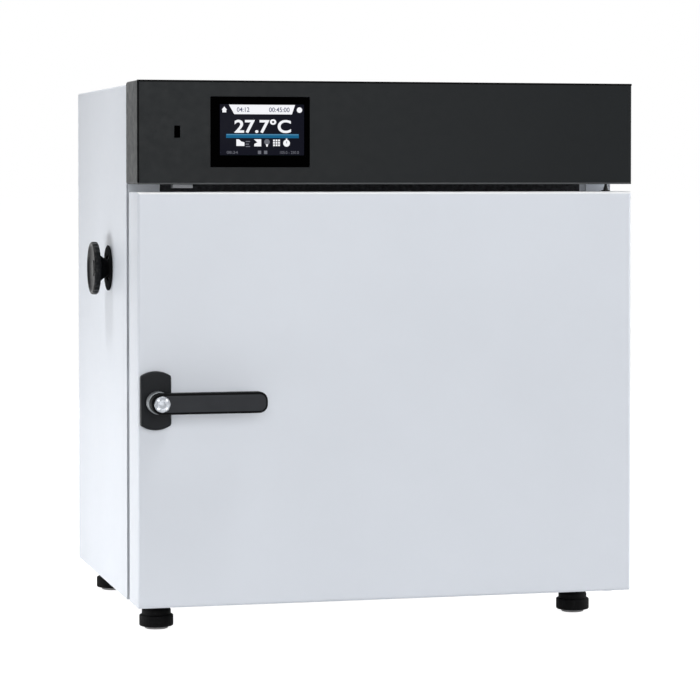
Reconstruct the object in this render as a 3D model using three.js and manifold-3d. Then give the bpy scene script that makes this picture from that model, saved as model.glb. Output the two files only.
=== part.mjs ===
// Bench-top drying oven with a right-hung door, a lever handle and a control panel across the top.
// Millimetres, +Z up. While it is built, the door's face is Y = 0, the floor is Z = 0 and the
// middle of the cabinet's width is X = 0. The finished group is centred over the floor.
import * as THREE from 'three';
import { mergeVertices } from 'three/addons/utils/BufferGeometryUtils.js';
import Module from 'manifold-3d';

const wasm = await Module();
wasm.setup();

// Chamber, which the cabinet is built round
const chamberWidth = 400;
const chamberHeight = 320;
const chamberDepth = 250;
const chamberRise = 72;
const chamberCap = 72;
const sideWall = 90;
const airSpace = 30;
const rearInsulationDepth = 34;
const motorSpace = 40.6;
const linerFlange = 22;
const topInsulation = 60;

// Cabinet
const footHeight = 37.5;
const doorTopGap = 8.5;
const doorThickness = 55;
const doorBackGap = 18.5;
const panelHeight = 116;
const panelRise = 3;
const panelWall = 2.5;
const outerSheet = 1.5;
const innerSheet = 1;
const bracketSheet = 2;
const cornerRadius = 3;
const edgeRadius = 2;

// Clearances: seat between pieces that rest on each other, play round pieces that move
const seat = 0.3;
const play = 0.5;
const overrun = 30;

// Door
const plugClearance = 4;
const plugReach = 4;
const gasketInset = 3;
const gasketWidth = 14;
const gasketBevel = 3;

// Hinges
const hingeInset = 19.4;
const hingeSetback = 35;
const hingePinRadius = 3;
const hingePinLength = 24;
const bushWall = 1.2;
const bushCollar = 0.5;
const bushCollarHeight = 1;
const bracketWidth = 24;
const bracketDrop = 46;

// Handle
const handleInset = 19.1;
const handleHeight = 231.5;
const roseWidth = 35;
const roseHeight = 66;
const roseArch = 5.5;
const roseThickness = 10;
const roseBevel = 3;
const roseRise = 1;
const collarRadius = 10;
const collarLength = 6.5;
const hubRadius = 11.2;
const hubRingRadius = 12.8;
const hubRingLength = 12.4;
const leverLength = 119;
const leverWidth = 23.5;
const leverThickness = 17;
const leverBevel = 3.4;
const leverTipRadius = 9.5;
const leverStandOff = 30;
const spindleSize = 8;
const spindleBoreRadius = 7.5;
const keyRadius = 9.1;
const keyDepth = 6.5;
const keyProud = 2.5;
const keySlotWidth = 1.4;
const keySlotHeight = 8;
const keySlotDepth = 3;
const camThickness = 8;
const camWidth = 12;
const camTail = 9;
const camLength = 30;
const caseWidth = 34;
const caseHeight = 92;
const keeperPlate = 2.5;
const keeperWidth = 30;
const keeperHeight = 24;
const keeperCheek = 5;
const keeperReach = 11;
const keeperClearance = 1.5;

// Control panel
const bezelLeft = 83;
const bezelWidth = 113;
const bezelHeight = 78;
const bezelRise = 0.5;
const bezelRadius = 3;
const bezelProud = 1.2;
const bezelFlange = 3.5;
const bezelFlangeThickness = 2;
const screenLeft = 10;
const screenRise = 12.7;
const screenWidth = 97;
const screenHeight = 57.5;
const screenRecess = 0.6;
const screenThickness = 3;
const boardThickness = 1.6;
const boardMargin = 4;
const displayModuleDepth = 6;
const usbInset = 45;
const usbWidth = 6.7;
const usbHeight = 13.5;
const usbShell = 0.7;
const usbDepth = 14;
const usbCavity = 11;
const usbFlange = 5;
const usbTongue = 1.8;
const sensorInset = 45;
const sensorWidth = 23;
const sensorDepth = 12;
const sensorHeight = 4;
const sensorSetback = 28;

// Air slot above the door
const slotInset = 38.5;
const slotHeight = 14;
const slotDrop = 3;
const grilleLip = 4;
const grilleLipThickness = 2;
const grilleRib = 6;
const grilleOpenings = 24;
const cableHoleWidth = 50;
const cableHoleHeight = 20;

// Side vent
const ventSetback = 194;
const ventDrop = 18.4;
const ventTubeRadius = 18.5;
const ventTubeWall = 1;
const rosetteRadius = 26.5;
const rosetteThickness = 2;
const knobRadius = 31.1;
const knobReach = 22;
const knobDiscThickness = 8.4;
const knobDiscBevel = 1.2;
const knobNeckRadius = 10;
const knobFlareRadius = 18;
const knobFluteDepth = 1;
const knobFlutes = 32;
const stepsPerFlute = 4;
const ventSpindleRadius = 3;
const ventHoleInner = 10.5;
const ventHoleRim = 2.5;
const shutterThickness = 1.5;
const spindleInKnob = 7;

// Fan, heater and probe
const fanRadius = 62;
const fanHubRadius = 14;
const fanPlate = 1.5;
const fanBladeDepth = 15;
const fanBladeThickness = 1.5;
const fanBlades = 8;
const fanBackGap = 4;
const fanShaftRadius = 4;
const fanShaftInMotor = 18;
const motorRadius = 36;
const motorDepth = 34;
const motorBoss = 11;
const motorBackWall = 6;
const heaterRadius = 84;
const heaterTubeRadius = 4;
const heaterLegSpread = 12;
const heaterLegOut = 10;
const probeRadius = 2.5;
const probeReach = 30;
const probeAside = 50;
const probeDrop = 36;
const probeCollarRadius = 7;
const probeCollarLength = 6;

// Baffle, rails and shelves
const baffleHoleRadius = 7;
const baffleRingRadii = [22, 44];
const baffleRingCounts = [6, 12];
const outletInset = 30;
const outletWidth = 8;
const outletHeight = 22;
const outletPitch = 36;
const outletCount = 8;
const railRise = 40;
const railPitch = 60;
const railLedges = 4;
const railFrontSetback = 12;
const railLedgeWidth = 12;
const railTail = 8;
const shelfClearance = 2;
const shelfPlay = 12;
const shelfRodRadius = 3;
const shelfWireRadius = 1.5;
const shelfWires = 13;
const shelfBackGap = 5;

// Exhaust and mains
const exhaustInset = 90;
const exhaustDrop = 34;
const exhaustRadius = 15;
const exhaustWall = 1.5;
const exhaustReach = 12;
const exhaustCollarRadius = 20;
const exhaustCollar = 2;
const mainsRise = 52.5;
const inletInset = 75;
const inletFlangeWidth = 50;
const inletFlangeHeight = 28;
const inletFlange = 2.5;
const inletBodyWidth = 30;
const inletBodyHeight = 22;
const inletBodyDepth = 24;
const inletRecessWidth = 24;
const inletRecessHeight = 17;
const inletRecessDepth = 16;
const inletPinWidth = 2;
const inletPinHeight = 4;
const inletPinLength = 13;
const inletPinSpread = 7;
const inletPinRise = 3.5;
const switchPitch = 55;
const switchFrameWidth = 24;
const switchFrameHeight = 31;
const switchFlange = 2;
const switchLip = 2;
const switchBodyDepth = 16;
const switchBackWall = 2;
const rockerWidth = 17;
const rockerHalfHeight = 10.5;
const rockerCrown = 7;
const rockerValley = 5.5;
const rockerEnd = 2;
const rockerKeel = 4;
const rockerTilt = 8;

// Electronics bay
const coverVentWidth = 60;
const coverVentHeight = 4;
const coverVentPitch = 11;
const coverVentRows = 6;
const coverVentInset = 100;
const coverVentRise = 90;
const postRadius = 3;
const postHeight = 8;
const controlBoardWidth = 160;
const controlBoardDepth = 110;
const controlBoardAside = 20;
const boardSetback = 126.5;
const chipHeight = 12;
const relaySize = 22;
const relayPitch = 33;
const capacitorRadius = 8;
const capacitorHeight = 20;
const supplyWidth = 90;
const supplyDepth = 130;
const supplyHeight = 36;
const supplyInset = 100;
const supplySetback = 136.5;
const supplyRidge = 3;
const heatsinkWidth = 80;
const heatsinkHeight = 70;
const heatsinkBase = 6;
const heatsinkFin = 24;
const heatsinkFinThickness = 2.5;
const heatsinkFins = 8;
const heatsinkInset = 90;
const heatsinkSetback = 156.5;
const ssrWidth = 45;
const ssrHeight = 58;
const ssrDepth = 22;
const ssrTerminal = 5;

// Feet
const footInsetX = 38;
const footFrontSetback = 97.5;
const footRearInset = 26;
const footBaseRadius = 20;
const footBaseHeight = 14.5;
const footNeckRadius = 16.8;
const footNeckHeight = 21.5;
const footShoulderRadius = 13.4;
const footShoulderHeight = 25.5;
const footBevel = 1.5;
const footPadRadius = 13.5;
const footPadHeight = 3;
const footStudRadius = 3.8;
const footStudLength = 12;

// Facet counts
const roundSides = 20;
const smallSides = 10;
const wireSides = 6;
const cornerSteps = 3;
const bevelSteps = 2;
const holeSides = 8;
const archSteps = 6;
const heaterSteps = 28;

// Places worked out from the sizes
const halfWidth = chamberWidth / 2 + sideWall;
const doorHeight = chamberRise + chamberHeight + chamberCap;
const innerHalf = halfWidth - outerSheet;
const insideX = innerHalf - seat;
const baseZ = footHeight;
const doorTopZ = baseZ + doorHeight;
const panelBaseZ = doorTopZ + doorTopGap;
const panelTopZ = panelBaseZ + panelHeight;
const casingTopZ = panelTopZ - panelRise;
const insideTopZ = casingTopZ - outerSheet - seat;
const panFloorZ = baseZ + outerSheet + seat;
const frameY = doorThickness + doorBackGap;
const chamberHalf = chamberWidth / 2;
const chamberBaseZ = baseZ + chamberRise;
const chamberTopZ = chamberBaseZ + chamberHeight;
const chamberMidZ = chamberBaseZ + chamberHeight / 2;
const baffleY = frameY + chamberDepth;
const linerBackY = baffleY + airSpace;
const jacketTopZ = chamberTopZ + innerSheet + topInsulation;
const rearWoolY = linerBackY + innerSheet + seat;
const bulkheadY = rearWoolY + rearInsulationDepth + seat;
const motorY = bulkheadY + outerSheet + seat;
const cabinetDepth = motorY + motorSpace + outerSheet;
const frontInY = frameY + outerSheet + seat;
const backInY = cabinetDepth - outerSheet - seat;
const bayFloorZ = jacketTopZ + seat;
const bayTopZ = bayFloorZ + outerSheet + seat;
const hingeX = halfWidth - hingeInset;
const handleX = -halfWidth + handleInset;
const handleZ = baseZ + handleHeight;
const ventHeight = chamberTopZ - ventDrop;
const exhaustX = chamberHalf - exhaustInset;
const probeX = exhaustX - probeAside;
const exhaustZ = chamberTopZ - exhaustDrop;
const slotWidth = 2 * (halfWidth - slotInset);
const mainsHeight = panelBaseZ + mainsRise;
const inletX = halfWidth - inletInset;
const switchX = inletX - switchPitch;
const coverVentX = halfWidth - coverVentInset;
const probeZ = chamberTopZ - probeDrop;
const heaterLegZ = chamberMidZ - heaterRadius;
const heaterMidY = baffleY + airSpace / 2;
const boreRadius = fanShaftRadius + play;
const footPlaces = {
  front_left: [-halfWidth + footInsetX, footFrontSetback],
  front_right: [halfWidth - footInsetX, footFrontSetback],
  rear_left: [-halfWidth + footInsetX, cabinetDepth - footRearInset],
  rear_right: [halfWidth - footInsetX, cabinetDepth - footRearInset],
};

// Materials
const paint = (color, roughness, metalness) =>
  new THREE.MeshStandardMaterial({ color, roughness, metalness });
const white = paint('#d6dbe2', 0.45, 0.1);
const anthracite = paint('#2c2e2f', 0.5, 0.1);
const blackPlastic = paint('#1b1c1e', 0.5, 0);
const softBlack = paint('#34363a', 0.45, 0);
const glassBlack = paint('#0d141a', 0.15, 0);
const rubber = paint('#131415', 0.9, 0);
const gasketGrey = paint('#8f9296', 0.8, 0);
const stainless = paint('#b8bcc0', 0.3, 0.9);
const zinc = paint('#a6a9ac', 0.4, 0.9);
const aluminium = paint('#c2c5c8', 0.35, 0.9);
const wool = paint('#c9b98a', 1, 0);
const boardGreen = paint('#1f5b3a', 0.6, 0);
const sensorGrey = paint('#8e9194', 0.5, 0.1);

// Solids: a geometry becomes a manifold to be cut or joined, and then a geometry again
function toSolid(geometry) {
  const bare = geometry.clone();
  bare.deleteAttribute('normal');
  bare.deleteAttribute('uv');
  const merged = mergeVertices(bare);
  const corners = merged.index.array;
  const triangles = [];
  for (let i = 0; i < corners.length; i += 3) {
    const [a, b, c] = [corners[i], corners[i + 1], corners[i + 2]];
    if (a !== b && b !== c && c !== a) triangles.push(a, b, c);
  }
  return new wasm.Manifold(new wasm.Mesh({
    numProp: 3,
    vertProperties: new Float32Array(merged.attributes.position.array),
    triVerts: new Uint32Array(triangles),
  }));
}

function toGeometry(solid) {
  const { vertProperties, triVerts } = solid.getMesh();
  const geometry = new THREE.BufferGeometry();
  geometry.setAttribute('position', new THREE.BufferAttribute(vertProperties, 3));
  geometry.setIndex(new THREE.BufferAttribute(triVerts, 1));
  geometry.computeVertexNormals();
  return geometry;
}

const combine = (how, first, rest) =>
  toGeometry(rest.reduce((solid, next) => solid[how](toSolid(next)), toSolid(first)));
const join = (first, ...rest) => combine('add', first, rest);
const cut = (first, ...rest) => combine('subtract', first, rest);

// Shapes
const span = (from, length) => [from, from + length];
const about = (middle, length) => [middle - length / 2, middle + length / 2];

function block({ x, y, z }) {
  return new THREE.BoxGeometry(x[1] - x[0], y[1] - y[0], z[1] - z[0])
    .translate((x[0] + x[1]) / 2, (y[0] + y[1]) / 2, (z[0] + z[1]) / 2);
}

function rod(start, end, radius, sides = roundSides) {
  const from = new THREE.Vector3(...start);
  const to = new THREE.Vector3(...end);
  const along = to.clone().sub(from);
  const middle = from.clone().add(to).divideScalar(2);
  const turn = new THREE.Quaternion()
    .setFromUnitVectors(new THREE.Vector3(0, 1, 0), along.clone().normalize());
  return new THREE.CylinderGeometry(radius, radius, along.length(), sides)
    .applyQuaternion(turn)
    .translate(middle.x, middle.y, middle.z);
}

// An outline of points round a rectangle with rounded corners, in the plane of its two spans
function rectangle(across, up, radius = 0, steps = cornerSteps) {
  const corners = [
    [across[1] - radius, up[1] - radius],
    [across[0] + radius, up[1] - radius],
    [across[0] + radius, up[0] + radius],
    [across[1] - radius, up[0] + radius],
  ];
  if (radius === 0) return corners.map(([u, v]) => new THREE.Vector2(u, v));
  return corners.flatMap(([u, v], quarter) => Array.from({ length: steps + 1 }, (_, step) => {
    const angle = (quarter + step / steps) * Math.PI / 2;
    return new THREE.Vector2(u + radius * Math.cos(angle), v + radius * Math.sin(angle));
  }));
}

function circle(u, v, radius, sides = roundSides) {
  return Array.from({ length: sides }, (_, side) => {
    const angle = side / sides * 2 * Math.PI;
    return new THREE.Vector2(u + radius * Math.cos(angle), v + radius * Math.sin(angle));
  });
}

function sector(inner, outer, middle, width, steps) {
  const angles = Array.from({ length: steps + 1 }, (_, step) => middle + (step / steps - 0.5) * width);
  const arc = (radius, list) =>
    list.map((angle) => new THREE.Vector2(radius * Math.cos(angle), radius * Math.sin(angle)));
  return [...arc(outer, angles), ...arc(inner, angles.slice().reverse())];
}

function sheetOf(points, holes, depth, bevel = 0) {
  const shape = new THREE.Shape(points);
  shape.holes = holes.map((hole) => new THREE.Path(hole));
  return new THREE.ExtrudeGeometry(shape, {
    depth: depth - 2 * bevel,
    bevelEnabled: bevel > 0,
    bevelThickness: bevel,
    bevelSize: bevel,
    bevelOffset: -bevel,
    bevelSegments: bevelSteps,
  }).translate(0, 0, bevel);
}

// Extrusions along Y of an outline in X and Z, along X of one in Y and Z, along Z of one in X and Y
function alongY(points, y, holes = [], bevel = 0) {
  return sheetOf(points, holes, y[1] - y[0], bevel).rotateX(Math.PI / 2).translate(0, y[1], 0);
}

function alongX(points, x, holes = [], bevel = 0) {
  const turn = new THREE.Matrix4().makeBasis(
    new THREE.Vector3(0, 1, 0),
    new THREE.Vector3(0, 0, 1),
    new THREE.Vector3(1, 0, 0),
  );
  return sheetOf(points, holes, x[1] - x[0], bevel).applyMatrix4(turn).translate(x[0], 0, 0);
}

function alongZ(points, z, holes = [], bevel = 0) {
  return sheetOf(points, holes, z[1] - z[0], bevel).translate(0, 0, z[0]);
}

// A flat sheet across Y with its holes punched one by one
const punched = (points, y, holes) =>
  cut(alongY(points, y), ...holes.map((hole) => alongY(hole, [y[0] - overrun, y[1] + overrun])));

// A box whose front edges are rounded and whose back is square
function softFront({ x, y, z }) {
  const long = alongY(rectangle(x, z, cornerRadius), [y[0], y[1] + overrun], [], edgeRadius);
  return cut(long, block({
    x: [x[0] - overrun, x[1] + overrun],
    y: [y[1], y[1] + 2 * overrun],
    z: [z[0] - overrun, z[1] + overrun],
  }));
}

// The scene graph: one group for each part that moves, all in the cabinet's frame
const oven = new THREE.Group();
const cabinet = new THREE.Group();
const door = new THREE.Group();
const handle = new THREE.Group();
oven.add(cabinet);
cabinet.add(door);
door.add(handle);

function place(group, name, geometry, material, [x, y, z] = [0, 0, 0]) {
  const mesh = new THREE.Mesh(geometry, material);
  mesh.name = name;
  mesh.position.set(x, y, z);
  group.add(mesh);
  return mesh;
}

// Holes that run through several pieces behind the chamber
const behind = [baffleY - overrun, cabinetDepth + overrun];
const drill = (x, z, radius, sides = smallSides) =>
  rod([x, behind[0], z], [x, behind[1], z], radius, sides);
const rearHoles = () => [
  drill(0, chamberMidZ, boreRadius, roundSides),
  drill(exhaustX, exhaustZ, exhaustRadius + seat, roundSides),
  drill(probeX, probeZ, probeRadius + seat),
  drill(-heaterLegSpread, heaterLegZ, heaterTubeRadius + seat),
  drill(heaterLegSpread, heaterLegZ, heaterTubeRadius + seat),
];
const ventBore = (radius) => rod(
  [-halfWidth - overrun, ventSetback, ventHeight],
  [-chamberHalf + overrun, ventSetback, ventHeight],
  radius,
);

// Casing: sheet over both sides and the top
place(cabinet, 'casing_wrap', cut(
  alongY(
    rectangle([-halfWidth, halfWidth], [baseZ - cornerRadius, casingTopZ], cornerRadius),
    [frameY, cabinetDepth],
  ),
  block({
    x: [-innerHalf, innerHalf],
    y: [frameY - overrun, cabinetDepth + overrun],
    z: [baseZ - overrun, casingTopZ - outerSheet],
  }),
  block({
    x: [-halfWidth - overrun, halfWidth + overrun],
    y: [frameY - overrun, cabinetDepth + overrun],
    z: [baseZ - overrun, baseZ],
  }),
  ventBore(ventTubeRadius - ventTubeWall),
), white);

place(cabinet, 'base_pan', alongZ(
  rectangle([-insideX, insideX], [frontInY, backInY]),
  span(baseZ, outerSheet),
  Object.values(footPlaces).map(([x, y]) => circle(x, y, footStudRadius + seat, smallSides)),
), zinc);

// Front frame with the chamber's mouth, the air slot and the way for the panel's wires
const slotZ = [panelBaseZ + slotDrop / 2 - slotHeight, panelBaseZ + slotDrop / 2];
const mouthX = chamberHalf + innerSheet + seat;
place(cabinet, 'front_frame', punched(
  rectangle([-insideX, insideX], [baseZ, insideTopZ]),
  span(frameY, outerSheet),
  [
    rectangle([-mouthX, mouthX],
      [chamberBaseZ - innerSheet - seat, chamberTopZ + innerSheet + seat]),
    rectangle(about(0, slotWidth), slotZ),
    rectangle(about(0, cableHoleWidth),
      about(panelBaseZ + panelHeight / 2, cableHoleHeight)),
  ],
), white);

// Black grille in the air slot: a lip behind the frame and a row of openings
function ventGrille() {
  const face = alongY(
    rectangle(about(0, slotWidth - 2 * seat), [slotZ[0] + seat, slotZ[1] - seat]),
    [frameY, frontInY + grilleLipThickness],
  );
  const lip = alongY(
    rectangle(about(0, slotWidth + 2 * grilleLip), [slotZ[0] - grilleLip / 2, slotZ[1] + grilleLip]),
    span(frontInY, grilleLipThickness),
  );
  const pitch = (slotWidth - grilleRib) / grilleOpenings;
  const openings = Array.from({ length: grilleOpenings }, (_, index) => block({
    x: span(-slotWidth / 2 + grilleRib + index * pitch, pitch - grilleRib),
    y: [frameY - overrun, frontInY + overrun],
    z: [slotZ[0] + grilleRib / 2, slotZ[1] - grilleRib / 2],
  }));
  return cut(join(face, lip), ...openings);
}
place(cabinet, 'vent_grille', ventGrille(), blackPlastic);

// Chamber liner with the flange that the door's gasket meets
const flangeY = frameY - seat - innerSheet;
const linerX = [-chamberHalf - innerSheet, chamberHalf + innerSheet];
const linerZ = [chamberBaseZ - innerSheet, chamberTopZ + innerSheet];
place(cabinet, 'chamber_liner', cut(
  join(
    block({ x: linerX, y: [flangeY, linerBackY + innerSheet], z: linerZ }),
    block({
      x: [-chamberHalf - linerFlange, chamberHalf + linerFlange],
      y: span(flangeY, innerSheet),
      z: [chamberBaseZ - linerFlange, chamberTopZ + linerFlange],
    }),
  ),
  block({
    x: [-chamberHalf, chamberHalf],
    y: [flangeY - overrun, linerBackY],
    z: [chamberBaseZ, chamberTopZ],
  }),
  ventBore(ventTubeRadius + seat),
  ...rearHoles(),
), stainless);

// Insulation round the chamber and behind it
const jacketX = insideX - seat;
place(cabinet, 'insulation_jacket', cut(
  block({
    x: [-jacketX, jacketX],
    y: [frontInY, linerBackY + innerSheet],
    z: [panFloorZ, jacketTopZ],
  }),
  block({
    x: [linerX[0] - seat, linerX[1] + seat],
    y: [frontInY - overrun, linerBackY + overrun],
    z: [linerZ[0] - seat, linerZ[1] + seat],
  }),
  ventBore(ventTubeRadius + seat),
  ...['front_left', 'front_right'].map((corner) => {
    const [x, y] = footPlaces[corner];
    return rod([x, y, baseZ], [x, y, baseZ + footStudLength + outerSheet],
      footStudRadius + play, smallSides);
  }),
), wool);

place(cabinet, 'rear_insulation', cut(
  block({ x: [-jacketX, jacketX], y: span(rearWoolY, rearInsulationDepth), z: [panFloorZ, jacketTopZ] }),
  ...rearHoles(),
), wool);

place(cabinet, 'rear_bulkhead', cut(
  block({ x: [-insideX, insideX], y: span(bulkheadY, outerSheet), z: [panFloorZ, jacketTopZ] }),
  ...rearHoles().slice(1),
  drill(0, chamberMidZ, motorBoss + seat, roundSides),
), zinc);

place(cabinet, 'bay_floor', block({
  x: [-insideX, insideX],
  y: [frontInY, backInY],
  z: span(bayFloorZ, outerSheet),
}), zinc);

// Back cover with louvre slots and the ways for the exhaust, inlet and switch
function rearCover() {
  const slots = [-coverVentX, coverVentX].flatMap((x) =>
    Array.from({ length: coverVentRows }, (_, row) => rectangle(
      about(x, coverVentWidth),
      about(baseZ + coverVentRise + row * coverVentPitch, coverVentHeight),
    )));
  return punched(rectangle([-insideX, insideX], [baseZ, insideTopZ]),
    [cabinetDepth - outerSheet, cabinetDepth], [
      ...slots,
      circle(exhaustX, exhaustZ, exhaustRadius + seat),
      rectangle(about(inletX, inletBodyWidth + 2 * seat), about(mainsHeight, inletBodyHeight + 2 * seat)),
      rectangle(about(switchX, switchFrameWidth - 2 * switchLip + 2 * seat),
        about(mainsHeight, switchFrameHeight - 2 * switchLip + 2 * seat)),
    ]);
}
place(cabinet, 'rear_cover', rearCover(), white);

// Air baffle: a plate with side flanges that stand on the liner's back
function airBaffle() {
  const reachX = chamberHalf - seat;
  const zSpan = [chamberBaseZ + seat, chamberTopZ - seat];
  const intake = baffleRingRadii.flatMap((ring, index) =>
    circle(0, chamberMidZ, ring, baffleRingCounts[index]));
  const round = [new THREE.Vector2(0, chamberMidZ), ...intake]
    .map((centre) => circle(centre.x, centre.y, baffleHoleRadius, holeSides));
  const outlets = [-1, 1].flatMap((side) =>
    Array.from({ length: outletCount }, (_, row) => rectangle(
      about(side * (chamberHalf - outletInset), outletWidth),
      about(chamberMidZ + (row - (outletCount - 1) / 2) * outletPitch, outletHeight),
    )));
  const plate = punched(rectangle([-reachX, reachX], zSpan), span(baffleY, innerSheet), [
    ...round,
    ...outlets,
    circle(probeX, probeZ, probeRadius + seat, smallSides),
  ]);
  const flanges = [-reachX, reachX - innerSheet].map((x) => block({
    x: span(x, innerSheet),
    y: [baffleY, linerBackY - seat],
    z: zSpan,
  }));
  return join(plate, ...flanges);
}
place(cabinet, 'air_baffle', airBaffle(), stainless);

// Fan: the wheel turns on the motor's shaft between baffle and liner
place(cabinet, 'fan_motor', cut(
  join(
    rod([0, motorY, 0], [0, motorY + motorDepth, 0], motorRadius),
    rod([0, bulkheadY, 0], [0, motorY + motorDepth / 2, 0], motorBoss),
  ),
  rod([0, motorY - overrun, 0], [0, motorY + motorDepth - motorBackWall, 0], boreRadius),
), zinc, [0, 0, chamberMidZ]);

function fanWheel() {
  const plateY = linerBackY - fanBackGap - fanPlate;
  const blades = Array.from({ length: fanBlades }, (_, index) => block({
    x: [fanHubRadius - fanPlate, fanRadius],
    y: [plateY - fanBladeDepth, plateY + fanPlate / 2],
    z: about(0, fanBladeThickness),
  }).rotateY(index / fanBlades * 2 * Math.PI));
  return join(
    rod([0, plateY, 0], [0, plateY + fanPlate, 0], fanRadius),
    rod([0, plateY - fanBladeDepth, 0], [0, plateY + fanPlate, 0], fanHubRadius, smallSides),
    rod([0, plateY, 0], [0, motorY + fanShaftInMotor, 0], fanShaftRadius, smallSides),
    ...blades,
  );
}
place(cabinet, 'fan_wheel', fanWheel(), aluminium, [0, 0, chamberMidZ]);

place(cabinet, 'heater_ring', join(
  new THREE.TorusGeometry(heaterRadius, heaterTubeRadius, wireSides, heaterSteps).rotateX(Math.PI / 2),
  ...[-heaterLegSpread, heaterLegSpread].map((x) => rod(
    [x, 0, -heaterRadius],
    [x, bulkheadY + outerSheet + heaterLegOut - heaterMidY, -heaterRadius],
    heaterTubeRadius,
    smallSides,
  )),
), stainless, [0, heaterMidY, chamberMidZ]);

place(cabinet, 'temperature_probe', join(
  rod([0, baffleY - probeReach, 0], [0, motorY + probeCollarLength, 0], probeRadius, smallSides),
  rod([0, motorY, 0], [0, motorY + probeCollarLength, 0], probeCollarRadius, smallSides),
), stainless, [probeX, 0, probeZ]);

// Rails on the side walls, each with ledges for the shelves
const railY = [frameY + railFrontSetback, baffleY - railTail];
const ledgeZ = (index) => chamberBaseZ + railRise + index * railPitch;
function shelfRail(side) {
  const wall = side * (chamberHalf - seat);
  const ordered = (a, b) => [Math.min(a, b), Math.max(a, b)];
  const strip = block({
    x: ordered(wall, wall - side * innerSheet),
    y: railY,
    z: [ledgeZ(0) - railTail, ledgeZ(railLedges - 1) + railTail],
  });
  const ledges = Array.from({ length: railLedges }, (_, index) => block({
    x: ordered(wall, wall - side * railLedgeWidth),
    y: railY,
    z: [ledgeZ(index) - innerSheet, ledgeZ(index)],
  }));
  return join(strip, ...ledges);
}
place(cabinet, 'shelf_rail_left', shelfRail(-1), stainless);
place(cabinet, 'shelf_rail_right', shelfRail(1), stainless);

// Wire shelves that lie on the ledges
function wireShelf() {
  const sideX = chamberHalf - 2 * seat - innerSheet - play - shelfRodRadius;
  const front = frameY + plugReach + shelfPlay + shelfClearance + shelfRodRadius;
  const back = baffleY - shelfBackGap - shelfRodRadius;
  const sides = [-sideX, sideX].map((x) =>
    rod([x, front, 0], [x, back, 0], shelfRodRadius, wireSides));
  const crosses = [front, (front + back) / 2, back].map((y) =>
    rod([-sideX, y, 0], [sideX, y, 0], shelfRodRadius, wireSides));
  const wires = Array.from({ length: shelfWires }, (_, index) => {
    const x = ((index + 1) / (shelfWires + 1) * 2 - 1) * sideX;
    return rod([x, front, 0], [x, back, 0], shelfWireRadius, wireSides);
  });
  return join(...sides, ...crosses, ...wires);
}
[['shelf_lower', 1], ['shelf_upper', 3]].forEach(([name, ledge]) => {
  place(cabinet, name, wireShelf(), stainless, [0, 0, ledgeZ(ledge) + seat + shelfRodRadius]);
});

// Side vent: a tube through the wall, a rosette with two holes and a shutter that the knob turns
const ventPlace = [-halfWidth, ventSetback, ventHeight];
const tubeBore = ventTubeRadius - ventTubeWall;
const quarterShare = 0.44;
const ventHoles = (middle) => [0, Math.PI].map((turn) =>
  sector(ventHoleInner, tubeBore - ventHoleRim, middle + turn, quarterShare * Math.PI, archSteps));
place(cabinet, 'vent_tube', alongX(
  circle(0, 0, ventTubeRadius),
  [outerSheet + seat, halfWidth - chamberHalf],
  [circle(0, 0, tubeBore)],
), stainless, ventPlace);
place(cabinet, 'vent_rosette', alongX(
  circle(0, 0, rosetteRadius),
  [-seat - rosetteThickness, -seat],
  [circle(0, 0, ventSpindleRadius + play, smallSides), ...ventHoles(Math.PI / 2)],
), blackPlastic, ventPlace);
place(cabinet, 'vent_shutter', join(
  alongX(circle(0, 0, tubeBore - play), span(outerSheet + play, shutterThickness), ventHoles(0)),
  rod([-seat - rosetteThickness - play - spindleInKnob, 0, 0],
    [outerSheet + play + shutterThickness, 0, 0], ventSpindleRadius, smallSides),
), zinc, ventPlace);

function ventKnob() {
  const neckX = -seat - rosetteThickness - play;
  const discX = [-knobReach, -knobReach + knobDiscThickness];
  const rimSteps = knobFlutes * stepsPerFlute;
  const rim = Array.from({ length: rimSteps }, (_, index) => {
    const angle = index / rimSteps * 2 * Math.PI;
    const radius = knobRadius - knobFluteDepth * (1 + Math.cos(knobFlutes * angle)) / 2;
    return new THREE.Vector2(radius * Math.cos(angle), radius * Math.sin(angle));
  });
  const neckProfile = [
    [0, neckX],
    [knobNeckRadius, neckX],
    [knobFlareRadius, discX[1] + knobDiscBevel],
    [knobRadius - 2 * knobFluteDepth, discX[1] - knobDiscBevel],
    [knobRadius - 2 * knobFluteDepth, discX[0] + knobDiscBevel * 2],
    [0, discX[0] + knobDiscBevel * 2],
  ].map(([radius, along]) => new THREE.Vector2(radius, -along));
  const neck = new THREE.LatheGeometry(neckProfile, roundSides).rotateZ(Math.PI / 2);
  return cut(
    join(alongX(rim, discX, [], knobDiscBevel), neck),
    rod([neckX - spindleInKnob - seat, 0, 0], [neckX + overrun, 0, 0],
      ventSpindleRadius + seat, smallSides),
  );
}
place(cabinet, 'vent_knob', ventKnob(), blackPlastic, ventPlace);

// Exhaust tube out of the back
place(cabinet, 'exhaust_tube', cut(
  join(
    rod([0, linerBackY, 0], [0, cabinetDepth + exhaustReach, 0], exhaustRadius),
    rod([0, cabinetDepth + seat, 0], [0, cabinetDepth + seat + exhaustCollar, 0], exhaustCollarRadius),
  ),
  rod([0, linerBackY - overrun, 0], [0, cabinetDepth + exhaustReach + overrun, 0],
    exhaustRadius - exhaustWall),
), stainless, [exhaustX, 0, exhaustZ]);

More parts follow.
